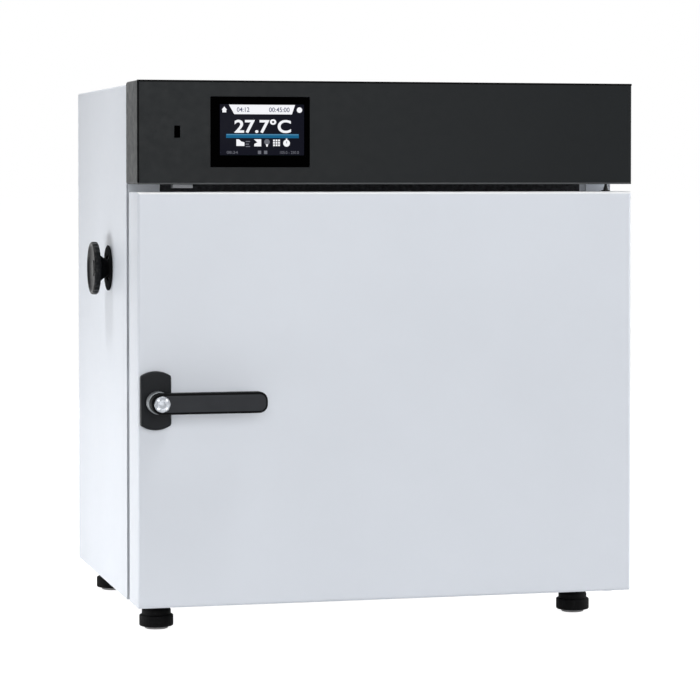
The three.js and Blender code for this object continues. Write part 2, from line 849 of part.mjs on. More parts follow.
// Control panel: a shell in front of the frame, open at the back
const bezelX = span(-halfWidth + bezelLeft, bezelWidth);
const bezelZ = about(panelBaseZ + panelHeight / 2 + bezelRise, bezelHeight);
const screenX = span(bezelX[0] + screenLeft, screenWidth);
const screenZ = span(bezelZ[0] + screenRise, screenHeight);
const usbX = -halfWidth + usbInset;
const usbZ = (bezelZ[0] + bezelZ[1]) / 2;
const panelBackY = frameY - seat;
const grow = ([low, high], by) => [low - by, high + by];
place(cabinet, 'control_panel', cut(
  softFront({ x: [-halfWidth, halfWidth], y: [0, panelBackY], z: [panelBaseZ, panelTopZ] }),
  block({
    x: [-halfWidth + panelWall, halfWidth - panelWall],
    y: [panelWall, panelBackY + overrun],
    z: [panelBaseZ + panelWall, panelTopZ - panelWall],
  }),
  block({ x: grow(bezelX, seat), y: [-overrun, overrun], z: grow(bezelZ, seat) }),
  block({ x: about(usbX, usbWidth), y: [-overrun, overrun], z: about(usbZ, usbHeight) }),
  block({
    x: about(hingeX, bracketWidth + 2 * seat),
    y: [hingeSetback - bracketWidth / 2 - seat, panelBackY + overrun],
    z: [panelBaseZ - overrun, panelBaseZ + 2 * panelWall],
  }),
), anthracite);

const flangeFrontY = panelWall + seat;
const screenY = span(-bezelProud + screenRecess, screenThickness);
place(cabinet, 'display_bezel', cut(
  join(
    alongY(rectangle(bezelX, bezelZ, bezelRadius), [-bezelProud, flangeFrontY + bezelFlangeThickness]),
    block({
      x: grow(bezelX, bezelFlange),
      y: span(flangeFrontY, bezelFlangeThickness),
      z: grow(bezelZ, bezelFlange),
    }),
  ),
  block({ x: screenX, y: [-overrun, overrun], z: screenZ }),
), glassBlack);
place(cabinet, 'display_screen', block({
  x: grow(screenX, -seat),
  y: screenY,
  z: grow(screenZ, -seat),
}), glassBlack);
place(cabinet, 'display_board', join(
  block({
    x: grow(screenX, -seat),
    y: [screenY[1] + seat, flangeFrontY + bezelFlangeThickness + displayModuleDepth],
    z: grow(screenZ, -seat),
  }),
  block({
    x: grow(screenX, boardMargin),
    y: [flangeFrontY + bezelFlangeThickness + seat,
      flangeFrontY + bezelFlangeThickness + seat + boardThickness],
    z: grow(screenZ, boardMargin),
  }),
), boardGreen);

place(cabinet, 'usb_socket', join(
  cut(
    join(
      block({
        x: about(0, usbWidth + 2 * usbShell),
        y: span(flangeFrontY, usbDepth),
        z: about(0, usbHeight + 2 * usbShell),
      }),
      block({
        x: about(0, usbWidth + 2 * usbFlange),
        y: span(flangeFrontY, boardThickness),
        z: about(0, usbHeight + 2 * usbFlange),
      }),
    ),
    block({
      x: about(0, usbWidth - usbShell),
      y: [-overrun, flangeFrontY + usbCavity],
      z: about(0, usbHeight - usbShell),
    }),
  ),
  block({
    x: span(usbShell / 2, usbTongue),
    y: [flangeFrontY + usbShell, flangeFrontY + usbDepth - usbShell],
    z: about(0, usbHeight - 2 * usbTongue),
  }),
), zinc, [usbX, 0, usbZ]);

place(cabinet, 'door_sensor', block({
  x: span(-halfWidth + sensorInset, sensorWidth),
  y: span(sensorSetback, sensorDepth),
  z: [panelBaseZ - seat - sensorHeight, panelBaseZ - seat],
}), sensorGrey);

// Electronics on the floor of the bay
function controlBoard() {
  const boardZ = bayTopZ + postHeight;
  const topZ = boardZ + boardThickness;
  const halves = [controlBoardWidth / 2 - 2 * postRadius, controlBoardDepth / 2 - 2 * postRadius];
  const posts = [-1, 1].flatMap((sideX) => [-1, 1].map((sideY) => rod(
    [sideX * halves[0], sideY * halves[1], bayTopZ],
    [sideX * halves[0], sideY * halves[1], topZ],
    postRadius,
    wireSides,
  )));
  const relays = [-1, 0, 1].map((index) => block({
    x: about(index * relayPitch, relaySize),
    y: about(halves[1] / 2, relaySize),
    z: [boardZ, topZ + chipHeight],
  }));
  const capacitors = [-1, 1].map((side) => rod(
    [side * halves[0] / 2, -halves[1] / 2, boardZ],
    [side * halves[0] / 2, -halves[1] / 2, topZ + capacitorHeight],
    capacitorRadius,
    smallSides,
  ));
  const board = block({
    x: about(0, controlBoardWidth),
    y: about(0, controlBoardDepth),
    z: [boardZ, topZ],
  });
  return join(board, ...posts, ...relays, ...capacitors);
}
place(cabinet, 'control_board', controlBoard(), boardGreen, [-controlBoardAside, frameY + boardSetback, 0]);

place(cabinet, 'power_supply', join(
  block({
    x: about(0, supplyWidth),
    y: about(0, supplyDepth),
    z: span(bayTopZ, supplyHeight),
  }),
  block({
    x: about(0, supplyWidth - supplyRidge * 2),
    y: about(0, supplyDepth - supplyRidge * 2),
    z: span(bayTopZ, supplyHeight + supplyRidge),
  }),
), zinc, [halfWidth - supplyInset, frameY + supplySetback, 0]);

const heatsinkX = -halfWidth + heatsinkInset;
const heatsinkY = frameY + heatsinkSetback;
function relayHeatsink() {
  const pitch = (heatsinkWidth - heatsinkFinThickness) / (heatsinkFins - 1);
  const fins = Array.from({ length: heatsinkFins }, (_, index) => block({
    x: span(-heatsinkWidth / 2 + index * pitch, heatsinkFinThickness),
    y: [0, heatsinkBase + heatsinkFin],
    z: span(bayTopZ, heatsinkHeight),
  }));
  return join(block({
    x: about(0, heatsinkWidth),
    y: [0, heatsinkBase],
    z: span(bayTopZ, heatsinkHeight),
  }), ...fins);
}
place(cabinet, 'relay_heatsink', relayHeatsink(), aluminium, [heatsinkX, heatsinkY, 0]);
place(cabinet, 'solid_state_relay', join(
  block({
    x: about(0, ssrWidth),
    y: [-seat - ssrDepth, -seat],
    z: about(0, ssrHeight),
  }),
  ...[-1, 1].map((side) => block({
    x: about(0, ssrWidth - 2 * ssrTerminal),
    y: [-seat - ssrDepth - ssrTerminal, -seat],
    z: about(side * (ssrHeight / 2 - 2 * ssrTerminal), 2 * ssrTerminal),
  })),
), blackPlastic, [heatsinkX, heatsinkY, bayTopZ + heatsinkHeight / 2]);

// Mains inlet and switch in the back cover
place(cabinet, 'mains_inlet', join(
  cut(
    join(
      alongY(rectangle(about(0, inletFlangeWidth), about(0, inletFlangeHeight), cornerRadius),
        span(seat, inletFlange)),
      block({
        x: about(0, inletBodyWidth),
        y: [-inletBodyDepth, seat + inletFlange / 2],
        z: about(0, inletBodyHeight),
      }),
    ),
    block({
      x: about(0, inletRecessWidth),
      y: [seat + inletFlange - inletRecessDepth, overrun],
      z: about(0, inletRecessHeight),
    }),
  ),
  ...[[-inletPinSpread, -inletPinRise], [inletPinSpread, -inletPinRise], [0, inletPinRise]]
    .map(([x, z]) => block({
      x: about(x, inletPinWidth),
      y: span(inletFlange - inletRecessDepth - seat, inletPinLength),
      z: about(z, inletPinHeight),
    })),
), blackPlastic, [inletX, cabinetDepth, mainsHeight]);

const rockerAxisY = cabinetDepth - seat;
place(cabinet, 'switch_frame', cut(
  join(
    alongY(rectangle(about(0, switchFrameWidth), about(0, switchFrameHeight), edgeRadius),
      span(seat, switchFlange)),
    block({
      x: about(0, switchFrameWidth - 2 * switchLip),
      y: [-switchBodyDepth, seat + switchFlange / 2],
      z: about(0, switchFrameHeight - 2 * switchLip),
    }),
  ),
  block({
    x: about(0, rockerWidth + 2 * play),
    y: [-switchBodyDepth + switchBackWall, overrun],
    z: about(0, 2 * (rockerHalfHeight + play) + switchLip),
  }),
), blackPlastic, [switchX, cabinetDepth, mainsHeight]);

const rocker = place(cabinet, 'mains_rocker', alongX([
  [-rockerEnd, -rockerHalfHeight],
  [rockerCrown, -rockerHalfHeight],
  [rockerValley, 0],
  [rockerCrown, rockerHalfHeight],
  [-rockerEnd, rockerHalfHeight],
  [-rockerKeel, 0],
].map(([y, z]) => new THREE.Vector2(y, z)), about(0, rockerWidth)),
softBlack, [switchX, rockerAxisY, mainsHeight]);
rocker.rotation.x = -THREE.MathUtils.degToRad(rockerTilt);

// Hinges: a bracket and a pin above and below the door, the lower one the upper one turned over
const collarZ = seat + bushCollarHeight + seat;
const hinges = [
  { name: 'top', edge: doorTopZ, up: 1, plateGap: doorTopGap },
  { name: 'bottom', edge: baseZ, up: -1, plateGap: collarZ },
];
for (const { name, edge, up, plateGap } of hinges) {
  const at = (distance) => edge + up * distance;
  const between = (a, b) => [Math.min(at(a), at(b)), Math.max(at(a), at(b))];
  const plateZ = between(plateGap, plateGap + bracketSheet);
  const nose = rod([hingeX, hingeSetback, plateZ[0]], [hingeX, hingeSetback, plateZ[1]],
    bracketWidth / 2);
  place(cabinet, `hinge_bracket_${name}`, cut(
    join(
      nose,
      block({ x: about(hingeX, bracketWidth), y: [hingeSetback, panelBackY], z: plateZ }),
      block({
        x: about(hingeX, bracketWidth),
        y: [panelBackY - bracketSheet, panelBackY],
        z: between(plateGap + bracketSheet, -bracketDrop),
      }),
    ),
    rod([hingeX, hingeSetback, plateZ[0] - overrun], [hingeX, hingeSetback, plateZ[1] + overrun],
      hingePinRadius + seat, smallSides),
  ), zinc);
  const pinZ = between(-hingePinLength, plateGap + bracketSheet);
  place(cabinet, `hinge_pin_${name}`,
    rod([hingeX, hingeSetback, pinZ[0]], [hingeX, hingeSetback, pinZ[1]], hingePinRadius, smallSides),
    blackPlastic);
  const bushZ = between(-hingePinLength - seat, seat);
  const capZ = between(seat, seat + bushCollarHeight);
  place(door, `hinge_bush_${name}`, cut(
    join(
      rod([hingeX, hingeSetback, bushZ[0]], [hingeX, hingeSetback, bushZ[1]],
        hingePinRadius + play + bushWall),
      rod([hingeX, hingeSetback, capZ[0]], [hingeX, hingeSetback, capZ[1]],
        hingePinRadius + play + bushWall + bushCollar),
    ),
    rod([hingeX, hingeSetback, bushZ[0] - overrun], [hingeX, hingeSetback, capZ[1] + overrun],
      hingePinRadius + play),
  ), zinc);
}
const bushPockets = (clearance) => [[doorTopZ, -1], [baseZ, 1]].map(([z, inward]) => rod(
  [hingeX, hingeSetback, z - inward * overrun],
  [hingeX, hingeSetback, z + inward * (hingePinLength + clearance + seat)],
  hingePinRadius + play + bushWall + clearance,
));

// Door: outer skin, inner panel with its plug, insulation and gasket
const spindleDrill = (radius) =>
  rod([handleX, -overrun, handleZ], [handleX, doorThickness + overrun, handleZ], radius);
const skinHalf = halfWidth - outerSheet;
place(door, 'door_skin', cut(
  softFront({ x: [-halfWidth, halfWidth], y: [0, doorThickness], z: [baseZ, doorTopZ] }),
  block({
    x: [-skinHalf, skinHalf],
    y: [outerSheet, doorThickness + overrun],
    z: [baseZ + outerSheet, doorTopZ - outerSheet],
  }),
  spindleDrill(spindleBoreRadius),
  ...bushPockets(seat),
), white);

const plugHalf = chamberHalf - plugClearance;
const plugZ = [chamberBaseZ + plugClearance, chamberTopZ - plugClearance];
const plugBackY = frameY + plugReach;
const panelZ = [baseZ + outerSheet + seat, doorTopZ - outerSheet - seat];
place(door, 'door_inner_panel', cut(
  join(
    block({
      x: [-skinHalf + seat, skinHalf - seat],
      y: [doorThickness - innerSheet, doorThickness],
      z: panelZ,
    }),
    block({ x: [-plugHalf, plugHalf], y: [doorThickness - innerSheet, plugBackY], z: plugZ }),
  ),
  block({
    x: grow([-plugHalf, plugHalf], -innerSheet),
    y: [-overrun, plugBackY - innerSheet],
    z: grow(plugZ, -innerSheet),
  }),
  spindleDrill(spindleBoreRadius),
), stainless);

const caseX = about(handleX, caseWidth).map((x) => Math.max(x, -skinHalf + seat));
const caseZ = about(handleZ, caseHeight);
const woolBackY = doorThickness - innerSheet - seat;
place(door, 'door_insulation', cut(
  join(
    block({
      x: [-skinHalf + seat, skinHalf - seat],
      y: [outerSheet + seat, woolBackY],
      z: panelZ,
    }),
    block({
      x: grow([-plugHalf, plugHalf], -innerSheet - seat),
      y: [outerSheet + seat, plugBackY - innerSheet - seat],
      z: grow(plugZ, -innerSheet - seat),
    }),
  ),
  block({ x: [-halfWidth, caseX[1] + seat], y: [-overrun, doorThickness + overrun], z: grow(caseZ, seat) }),
  ...bushPockets(2 * seat),
), wool);

place(door, 'latch_case', cut(
  block({ x: caseX, y: [outerSheet + seat, woolBackY], z: caseZ }),
  spindleDrill(spindleBoreRadius),
), zinc);

const gasketX = [-chamberHalf - gasketInset, chamberHalf + gasketInset];
const gasketZ = [chamberBaseZ - gasketInset, chamberTopZ + gasketInset];
place(door, 'door_gasket', alongY(
  rectangle(grow(gasketX, gasketWidth), grow(gasketZ, gasketWidth), gasketWidth),
  [doorThickness + seat, flangeY - seat],
  [rectangle(gasketX, gasketZ)],
  gasketBevel,
), gasketGrey);

// Handle: rose and collar on the door, lever, spindle and cam turn together, the key in the hub
function roseOutline() {
  const half = roseWidth / 2;
  const straight = roseHeight / 2 - roseArch;
  const archRadius = (half * half + roseArch * roseArch) / (2 * roseArch);
  const halfAngle = Math.asin(half / archRadius);
  const arch = (up) => Array.from({ length: archSteps + 1 }, (_, step) => {
    const angle = (step / archSteps * 2 - 1) * halfAngle;
    return new THREE.Vector2(
      -up * archRadius * Math.sin(angle),
      up * (straight + roseArch - archRadius + archRadius * Math.cos(angle)),
    );
  });
  return [...arch(1), ...arch(-1)];
}
const collarFaceY = -seat - roseThickness - collarLength;
place(door, 'handle_rose', cut(
  join(
    alongY(roseOutline(), [-seat - roseThickness, -seat], [], roseBevel),
    rod([0, collarFaceY, -roseRise], [0, -seat, -roseRise], collarRadius),
  ),
  rod([0, -overrun, -roseRise], [0, overrun, -roseRise], spindleBoreRadius),
), anthracite, [handleX, 0, handleZ + roseRise]);

const leverY = [-leverStandOff - leverThickness, -leverStandOff];
const leverHalf = leverWidth / 2;
const keySeatY = leverY[0] + keyDepth;
const hubRingY = [collarFaceY - play - hubRingLength, collarFaceY - play];
function leverHandle() {
  const around = (x, z, radius, from, turn) => Array.from({ length: archSteps + 1 }, (_, step) => {
    const angle = from + step / archSteps * turn;
    return new THREE.Vector2(x + radius * Math.cos(angle), z + radius * Math.sin(angle));
  });
  const quarter = Math.PI / 2;
  const tipX = leverLength - leverTipRadius;
  const tipZ = leverHalf - leverTipRadius;
  const bar = alongY(
    [
      ...around(tipX, -tipZ, leverTipRadius, -quarter, quarter),
      ...around(tipX, tipZ, leverTipRadius, 0, quarter),
      ...around(0, 0, leverHalf, quarter, 2 * quarter),
    ],
    leverY, [], leverBevel,
  );
  const hub = rod([0, leverY[0] + leverBevel, 0], [0, hubRingY[1], 0], hubRadius);
  return cut(
    join(bar, hub),
    rod([0, -overrun - leverStandOff, 0], [0, keySeatY, 0], keyRadius + seat),
    block({
      x: about(0, spindleSize + 2 * seat),
      y: [keySeatY + outerSheet, 0],
      z: about(0, spindleSize + 2 * seat),
    }),
  );
}
handle.position.set(handleX, 0, handleZ);
place(handle, 'lever_handle', leverHandle(), softBlack);
place(handle, 'hub_ring',
  alongY(circle(0, 0, hubRingRadius), hubRingY, [circle(0, 0, hubRadius + seat)]), aluminium);
const camY = span(doorThickness + play, camThickness);
place(handle, 'handle_spindle', block({
  x: about(0, spindleSize),
  y: [keySeatY + outerSheet + seat, camY[1]],
  z: about(0, spindleSize),
}), zinc);
place(handle, 'latch_cam', alongY(
  rectangle(about(0, camWidth), [-camTail, camLength], edgeRadius),
  camY,
  [rectangle(about(0, spindleSize + 2 * seat), about(0, spindleSize + 2 * seat))],
), zinc);
place(handle, 'key_cylinder', cut(
  rod([0, leverY[0] - keyProud, 0], [0, keySeatY - seat, 0], keyRadius),
  block({
    x: about(0, keySlotWidth),
    y: [leverY[0] - overrun, leverY[0] - keyProud + keySlotDepth],
    z: about(0, keySlotHeight),
  }),
), aluminium);

// Keeper on the frame: a plate and a cheek that stops the cam, open towards the door
const keeperZ = span(handleZ + camLength - keeperHeight, keeperHeight);
const cheekX = handleX - camWidth / 2 - keeperClearance;
place(cabinet, 'latch_keeper', join(
  block({
    x: span(cheekX - keeperCheek, keeperWidth),
    y: [panelBackY - keeperPlate, panelBackY],
    z: keeperZ,
  }),
  block({
    x: [cheekX - keeperCheek, cheekX],
    y: [panelBackY - keeperReach, panelBackY],
    z: keeperZ,
  }),
), zinc);

// Feet
const footProfile = [
  [0, 0],
  [footPadRadius, 0],
  [footPadRadius, footPadHeight],
  [footBaseRadius - footBevel, footPadHeight],
  [footBaseRadius, footPadHeight + footBevel],
  [footBaseRadius, footBaseHeight],
  [footBaseRadius - footBevel, footBaseHeight + footBevel],
  [footNeckRadius, footBaseHeight + footBevel],
  [footNeckRadius, footNeckHeight],
  [footShoulderRadius, footShoulderHeight],
  [footShoulderRadius, footHeight - seat],
  [footStudRadius, footHeight - seat],
  [footStudRadius, footHeight + footStudLength],
  [0, footHeight + footStudLength],
].map(([radius, z]) => new THREE.Vector2(radius, z));
for (const [corner, [x, y]] of Object.entries(footPlaces)) {
  place(cabinet, `foot_${corner}`,
    new THREE.LatheGeometry(footProfile, roundSides).rotateX(Math.PI / 2), rubber, [x, y, 0]);
}

// Centre the whole oven, from the knob to the right side and from the key to the exhaust
const frontReach = leverStandOff + leverThickness + keyProud;
oven.position.set(knobReach / 2, (frontReach - cabinetDepth - exhaustReach) / 2, 0);

export default oven;
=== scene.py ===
"""A bench drying oven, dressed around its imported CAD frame."""

import math

import bmesh
import bpy
from mathutils import Matrix, Vector


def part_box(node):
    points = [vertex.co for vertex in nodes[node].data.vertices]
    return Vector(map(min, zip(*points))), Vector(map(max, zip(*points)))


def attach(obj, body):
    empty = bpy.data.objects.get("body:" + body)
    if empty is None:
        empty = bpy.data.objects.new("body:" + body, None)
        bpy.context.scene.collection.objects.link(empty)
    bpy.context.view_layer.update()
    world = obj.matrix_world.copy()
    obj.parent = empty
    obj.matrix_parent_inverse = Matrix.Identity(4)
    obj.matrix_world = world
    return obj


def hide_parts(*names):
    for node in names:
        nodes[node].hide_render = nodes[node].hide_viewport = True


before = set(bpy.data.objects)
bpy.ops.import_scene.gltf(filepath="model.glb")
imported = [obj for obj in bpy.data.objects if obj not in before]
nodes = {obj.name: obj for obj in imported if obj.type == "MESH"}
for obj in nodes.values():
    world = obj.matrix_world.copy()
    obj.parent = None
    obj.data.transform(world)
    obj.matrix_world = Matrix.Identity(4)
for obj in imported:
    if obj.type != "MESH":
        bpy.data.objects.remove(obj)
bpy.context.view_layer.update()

MM = 0.001
MICRON = 0.000001
SMOOTH_ANGLE = math.radians(32)
FLAT_ANGLE = math.radians(0.5)
WELD_REACH = 0.00001

# Each placing turns a shape's own axis, its z, to the side of the oven that it's named after

FRONT = Matrix(((1, 0, 0, 0), (0, 0, -1, 0), (0, 1, 0, 0), (0, 0, 0, 1)))
BACK = Matrix(((-1, 0, 0, 0), (0, 0, 1, 0), (0, 1, 0, 0), (0, 0, 0, 1)))
LEFT = Matrix(((0, 0, -1, 0), (-1, 0, 0, 0), (0, 1, 0, 0), (0, 0, 0, 1)))
TOP = Matrix.Identity(4)

# Sides of round shapes

FINE_ROUND = 96
PLAIN_ROUND = 64
BORE_ROUND = 48
SMALL_ROUND = 24


# Colours and materials

NOISE_LOW = 0.3
NOISE_HIGH = 0.7
NOISE_ROUGHNESS = 0.55
LEAST_ROUGH = 0.02
EVEN = (1, 1, 1)


def linear(rgb):
    """An sRGB colour of 0 to 255 as linear light."""
    out = []
    for value in rgb:
        share = value / 255
        out.append(share / 12.92 if share <= 0.04045 else ((share + 0.055) / 1.055) ** 2.4)
    return (*out, 1.0)


def shaded(rgb, share):
    """The colour made lighter or darker by a share."""
    return tuple(max(0.0, min(255.0, value * (1 + share))) for value in rgb)


class Surface:
    """A procedural material: colour, roughness and relief each vary with their own noise.

    Every scale is in patches to a metre, and every depth is in microns.
    """

    def __init__(self, name, colour, rough, metal=0.0, **socket_values):
        self.material = bpy.data.materials.new(name)
        self.material.use_nodes = True
        self.tree = self.material.node_tree
        self.shader = self.tree.nodes["Principled BSDF"]
        self.shader.inputs["Metallic"].default_value = metal
        self.shader.inputs["Base Color"].default_value = linear(colour)
        self.shader.inputs["Roughness"].default_value = rough
        for key, value in socket_values.items():
            self.shader.inputs[key.replace("_", " ")].default_value = value
        self.colour = colour
        self.rough = rough
        self.coords = self.tree.nodes.new("ShaderNodeTexCoord")
        self.normal = None

    def noise(self, scale, stretch, detail):
        mapping = self.tree.nodes.new("ShaderNodeMapping")
        mapping.inputs["Scale"].default_value = stretch
        self.tree.links.new(self.coords.outputs["Object"], mapping.inputs["Vector"])
        noise = self.tree.nodes.new("ShaderNodeTexNoise")
        noise.inputs["Scale"].default_value = scale
        noise.inputs["Detail"].default_value = detail
        noise.inputs["Roughness"].default_value = NOISE_ROUGHNESS
        self.tree.links.new(mapping.outputs["Vector"], noise.inputs["Vector"])
        return noise.outputs["Fac"]

    def ranged(self, value, low, high):
        """The noise's usual range, stretched from low to high."""
        node = self.tree.nodes.new("ShaderNodeMapRange")
        node.inputs["From Min"].default_value = NOISE_LOW
        node.inputs["From Max"].default_value = NOISE_HIGH
        node.inputs["To Min"].default_value = low
        node.inputs["To Max"].default_value = high
        self.tree.links.new(value, node.inputs["Value"])
        return node.outputs["Result"]

    def mottle(self, scale, share, stretch=EVEN, detail=3.0):
        """The colour drifts by a share of itself."""
        mix = self.tree.nodes.new("ShaderNodeMix")
        mix.data_type = "RGBA"
        mix.inputs["A"].default_value = linear(shaded(self.colour, -share))
        mix.inputs["B"].default_value = linear(shaded(self.colour, share))
        value = self.ranged(self.noise(scale, stretch, detail), 0, 1)
        self.tree.links.new(value, mix.inputs["Factor"])
        self.tree.links.new(mix.outputs["Result"], self.shader.inputs["Base Color"])
        return self

    def wear(self, scale, spread, stretch=EVEN, detail=3.0):
        """The roughness drifts by the spread to each side."""
        low = max(LEAST_ROUGH, self.rough - spread)
        value = self.ranged(self.noise(scale, stretch, detail), low, self.rough + spread)
        self.tree.links.new(value, self.shader.inputs["Roughness"])
        return self

    def relief(self, height, depth):
        """Relief lies on any that is there already."""
        node = self.tree.nodes.new("ShaderNodeBump")
        node.inputs["Strength"].default_value = 1.0
        node.inputs["Distance"].default_value = depth * MICRON
        self.tree.links.new(height, node.inputs["Height"])
        if self.normal is not None:
            self.tree.links.new(self.normal, node.inputs["Normal"])
        self.normal = node.outputs["Normal"]
        self.tree.links.new(self.normal, self.shader.inputs["Normal"])
        return self

    def bump(self, scale, depth, stretch=EVEN, detail=2.0):
        """Relief of soft waves."""
        return self.relief(self.noise(scale, stretch, detail), depth)

    def cells(self, scale, depth):
        """Relief of small cells, as in foam or cast grain."""
        voronoi = self.tree.nodes.new("ShaderNodeTexVoronoi")
        voronoi.inputs["Scale"].default_value = scale
        self.tree.links.new(self.coords.outputs["Object"], voronoi.inputs["Vector"])
        return self.relief(voronoi.outputs["Distance"], depth)


def satin_plastic(name, colour, rough, specular, drift=0.05, grain=2600):
    """A hard plastic or a smooth paint with a fine grain."""
    made = Surface(name, colour, rough, Specular_IOR_Level=specular)
    return made.mottle(40, drift).wear(300, 0.06).cells(grain, 20)


def turned_metal(name, colour, rough, metal, drift=0.03, spread=0.05, depth=6):
    """A small turned part with hardly any relief."""
    return Surface(name, colour, rough, metal).mottle(80, drift).wear(300, spread).bump(1200, depth)


# Paints

PEEL = 700
PEEL_DEPTH = 40

white_paint = Surface("white_powder_coat", (226, 231, 239), 0.42, Specular_IOR_Level=0.5)
white_paint.mottle(5, 0.008).wear(90, 0.05).bump(PEEL, PEEL_DEPTH).bump(90, 60)

# Painted highlight: a lighter white for the door's upper front rounding, standing in for the light caught
# there
painted_edge_highlight = Surface("white_painted_edge_highlight", (250, 252, 255), 0.35, Specular_IOR_Level=0.5)
painted_edge_highlight.mottle(5, 0.008).bump(PEEL, PEEL_DEPTH)

dark_paint = Surface("anthracite_powder_coat", (24, 27, 29), 0.4, Specular_IOR_Level=0.11)
dark_paint.mottle(6, 0.05).wear(120, 0.06).bump(900, 30).bump(110, 50)

# Painted shade: black strips along the panel's left and upper front edges
edge_shadow = satin_plastic("panel_corner_painted_shade", (12, 13, 14), 0.5, 0.03)
# Painted highlight: a lighter grey strip along the panel's lower front edge, where its bevel catches light
panel_edge_highlight = satin_plastic("anthracite_painted_highlight", (78, 80, 82), 0.4, 0.15)

# Plastics, rubber and foam

gloss_black = Surface("gloss_black_bezel", (2, 2, 2), 0.12, Specular_IOR_Level=0.0)
gloss_black.mottle(30, 0.1).wear(300, 0.04).bump(1500, 4)

moulded_black = Surface("moulded_black_plastic", (20, 21, 23), 0.42, Specular_IOR_Level=0.25)
moulded_black.mottle(60, 0.08).wear(400, 0.08).cells(1900, 30)

lever_finish = satin_plastic("handle_grey_black", (43, 45, 49), 0.4, 0.12)
# Painted shade: a near-black copy of the lever's plastic for its bevels and sides
lever_painted_shade = satin_plastic("handle_painted_shade_black", (7, 8, 9), 0.45, 0.03, 0.06)
rose_finish = satin_plastic("rose_dark_plastic", (29, 31, 34), 0.42, 0.09, 0.06, 2400)

knob_plastic = Surface("knob_satin_plastic", (17, 18, 20), 0.3, Specular_IOR_Level=0.1)
knob_plastic.mottle(60, 0.08).wear(300, 0.05).cells(2400, 10)

rosette_black = Surface("rosette_black_plastic", (19, 20, 22), 0.8, Specular_IOR_Level=0.02)
rosette_black.mottle(60, 0.1).wear(200, 0.06).cells(1900, 20)

sensor_grey = Surface("sensor_grey_plastic", (205, 208, 214), 0.45)
sensor_grey.mottle(60, 0.05).wear(300, 0.08).cells(1800, 30)

board_green = Surface("circuit_board", (34, 82, 52), 0.42)
board_green.mottle(120, 0.08).wear(300, 0.08).bump(500, 50)

rubber = Surface("foot_rubber", (11, 11, 12), 0.6, Specular_IOR_Level=0.06)
rubber.mottle(80, 0.12).wear(350, 0.1).cells(1500, 50).bump(300, 40)

glide_rubber = Surface("grey_glide", (158, 157, 158), 0.6, Specular_IOR_Level=0.2)
glide_rubber.mottle(80, 0.08).wear(350, 0.1).cells(1500, 40)

gasket_silicone = Surface("silicone_gasket", (172, 175, 180), 0.55, Specular_IOR_Level=0.4)
gasket_silicone.mottle(40, 0.05).wear(200, 0.1).bump(500, 60)

# Painted shade: the air slot's ribs and the foam in it share this dark grey, so the slot reads as one even
# band of shade
slot_shade_foam = Surface("black_slot_shade_foam", (66, 67, 70), 0.95, Specular_IOR_Level=0.02)
slot_shade_foam.mottle(200, 0.15).cells(900, 500)

WOOL_LAYERS = (1, 1, 3)
WOOL_DETAIL = 6.0
wool = Surface("mineral_wool", (196, 178, 132), 0.95, Specular_IOR_Level=0.1)
wool.mottle(60, 0.14).bump(220, 1200, WOOL_LAYERS, WOOL_DETAIL)

# Metals

BRUSH_ALONG_X = (0.02, 1, 1)
BRUSH_ALONG_Z = (1, 1, 0.02)

steel = Surface("brushed_stainless", (182, 184, 187), 0.32, 1.0)
steel.mottle(900, 0.04, BRUSH_ALONG_X).wear(1200, 0.08, BRUSH_ALONG_X)
steel.bump(1800, 12, BRUSH_ALONG_X)

aluminium = Surface("brushed_aluminium", (186, 188, 192), 0.28, 1.0)
aluminium.mottle(700, 0.05, BRUSH_ALONG_Z).wear(900, 0.08, BRUSH_ALONG_Z)
aluminium.bump(1400, 10, BRUSH_ALONG_Z)

wire_steel = Surface("electropolished_wire", (205, 207, 210), 0.2, 1.0)
wire_steel.mottle(200, 0.04).wear(500, 0.06).bump(900, 10)

heater_steel = Surface("heater_sheath", (112, 106, 100), 0.42, 0.9)
heater_steel.mottle(120, 0.2).wear(200, 0.12).bump(700, 20)

zinc = Surface("zinc_plated_steel", (168, 172, 176), 0.34, 1.0)
zinc.mottle(60, 0.08).wear(120, 0.1).bump(260, 30)

# Painted shade: a near-black for the upper hinge pin, standing for the shade in the gap above the door
pin_painted_shade = Surface("hinge_pin_painted_shade", (12, 13, 14), 0.6)
pin_painted_shade.mottle(60, 0.1).wear(200, 0.1).bump(600, 30)

ring_metal = turned_metal("satin_grey_ring", (112, 116, 119), 0.38, 0.75, 0.05, 0.06, 10)
chrome = turned_metal("satin_chrome", (205, 209, 216), 0.16, 1.0)
satin_key = turned_metal("satin_key_metal", (158, 162, 168), 0.38, 0.6)
# Painted highlight: a lighter copy of the key metal for the four studs
key_stud_highlight = turned_metal("key_stud_painted_highlight", (232, 235, 240), 0.25, 0.5, 0.02)

# Lit parts of the display

UNLIT_SHARE = -0.8


def glowing(name, colour, strength):
    """A lit part of the display: it gives the colour by itself and reflects little."""
    made = Surface(name, shaded(colour, UNLIT_SHARE), 0.3, Specular_IOR_Level=0.02)
    made.shader.inputs["Emission Color"].default_value = linear(colour)
    made.shader.inputs["Emission Strength"].default_value = strength
    made.wear(400, 0.08).bump(1500, 3)
    return made


screen_dark = glowing("screen_background", (20, 21, 32), 0.8)
screen_white = glowing("screen_white", (250, 251, 255), 0.92)
screen_blue = glowing("screen_blue", (22, 104, 148), 0.8)
screen_pale_blue = glowing("screen_pale_blue", (92, 150, 184), 0.8)
screen_grey = glowing("screen_grey", (120, 122, 132), 0.75)
screen_ink = glowing("screen_ink", (92, 98, 128), 0.7)


# Shapes: sizes are in millimetres, places in the row frame

def in_metres(point):
    return Vector(point) * MM


def box_of(name):
    """A CAD node's lowest and highest corner in millimetres."""
    low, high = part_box(name)
    return Vector(low) / MM, Vector(high) / MM


def middle_of(name):
    """The middle of a CAD node's box in millimetres."""
    low, high = box_of(name)
    return (low + high) / 2


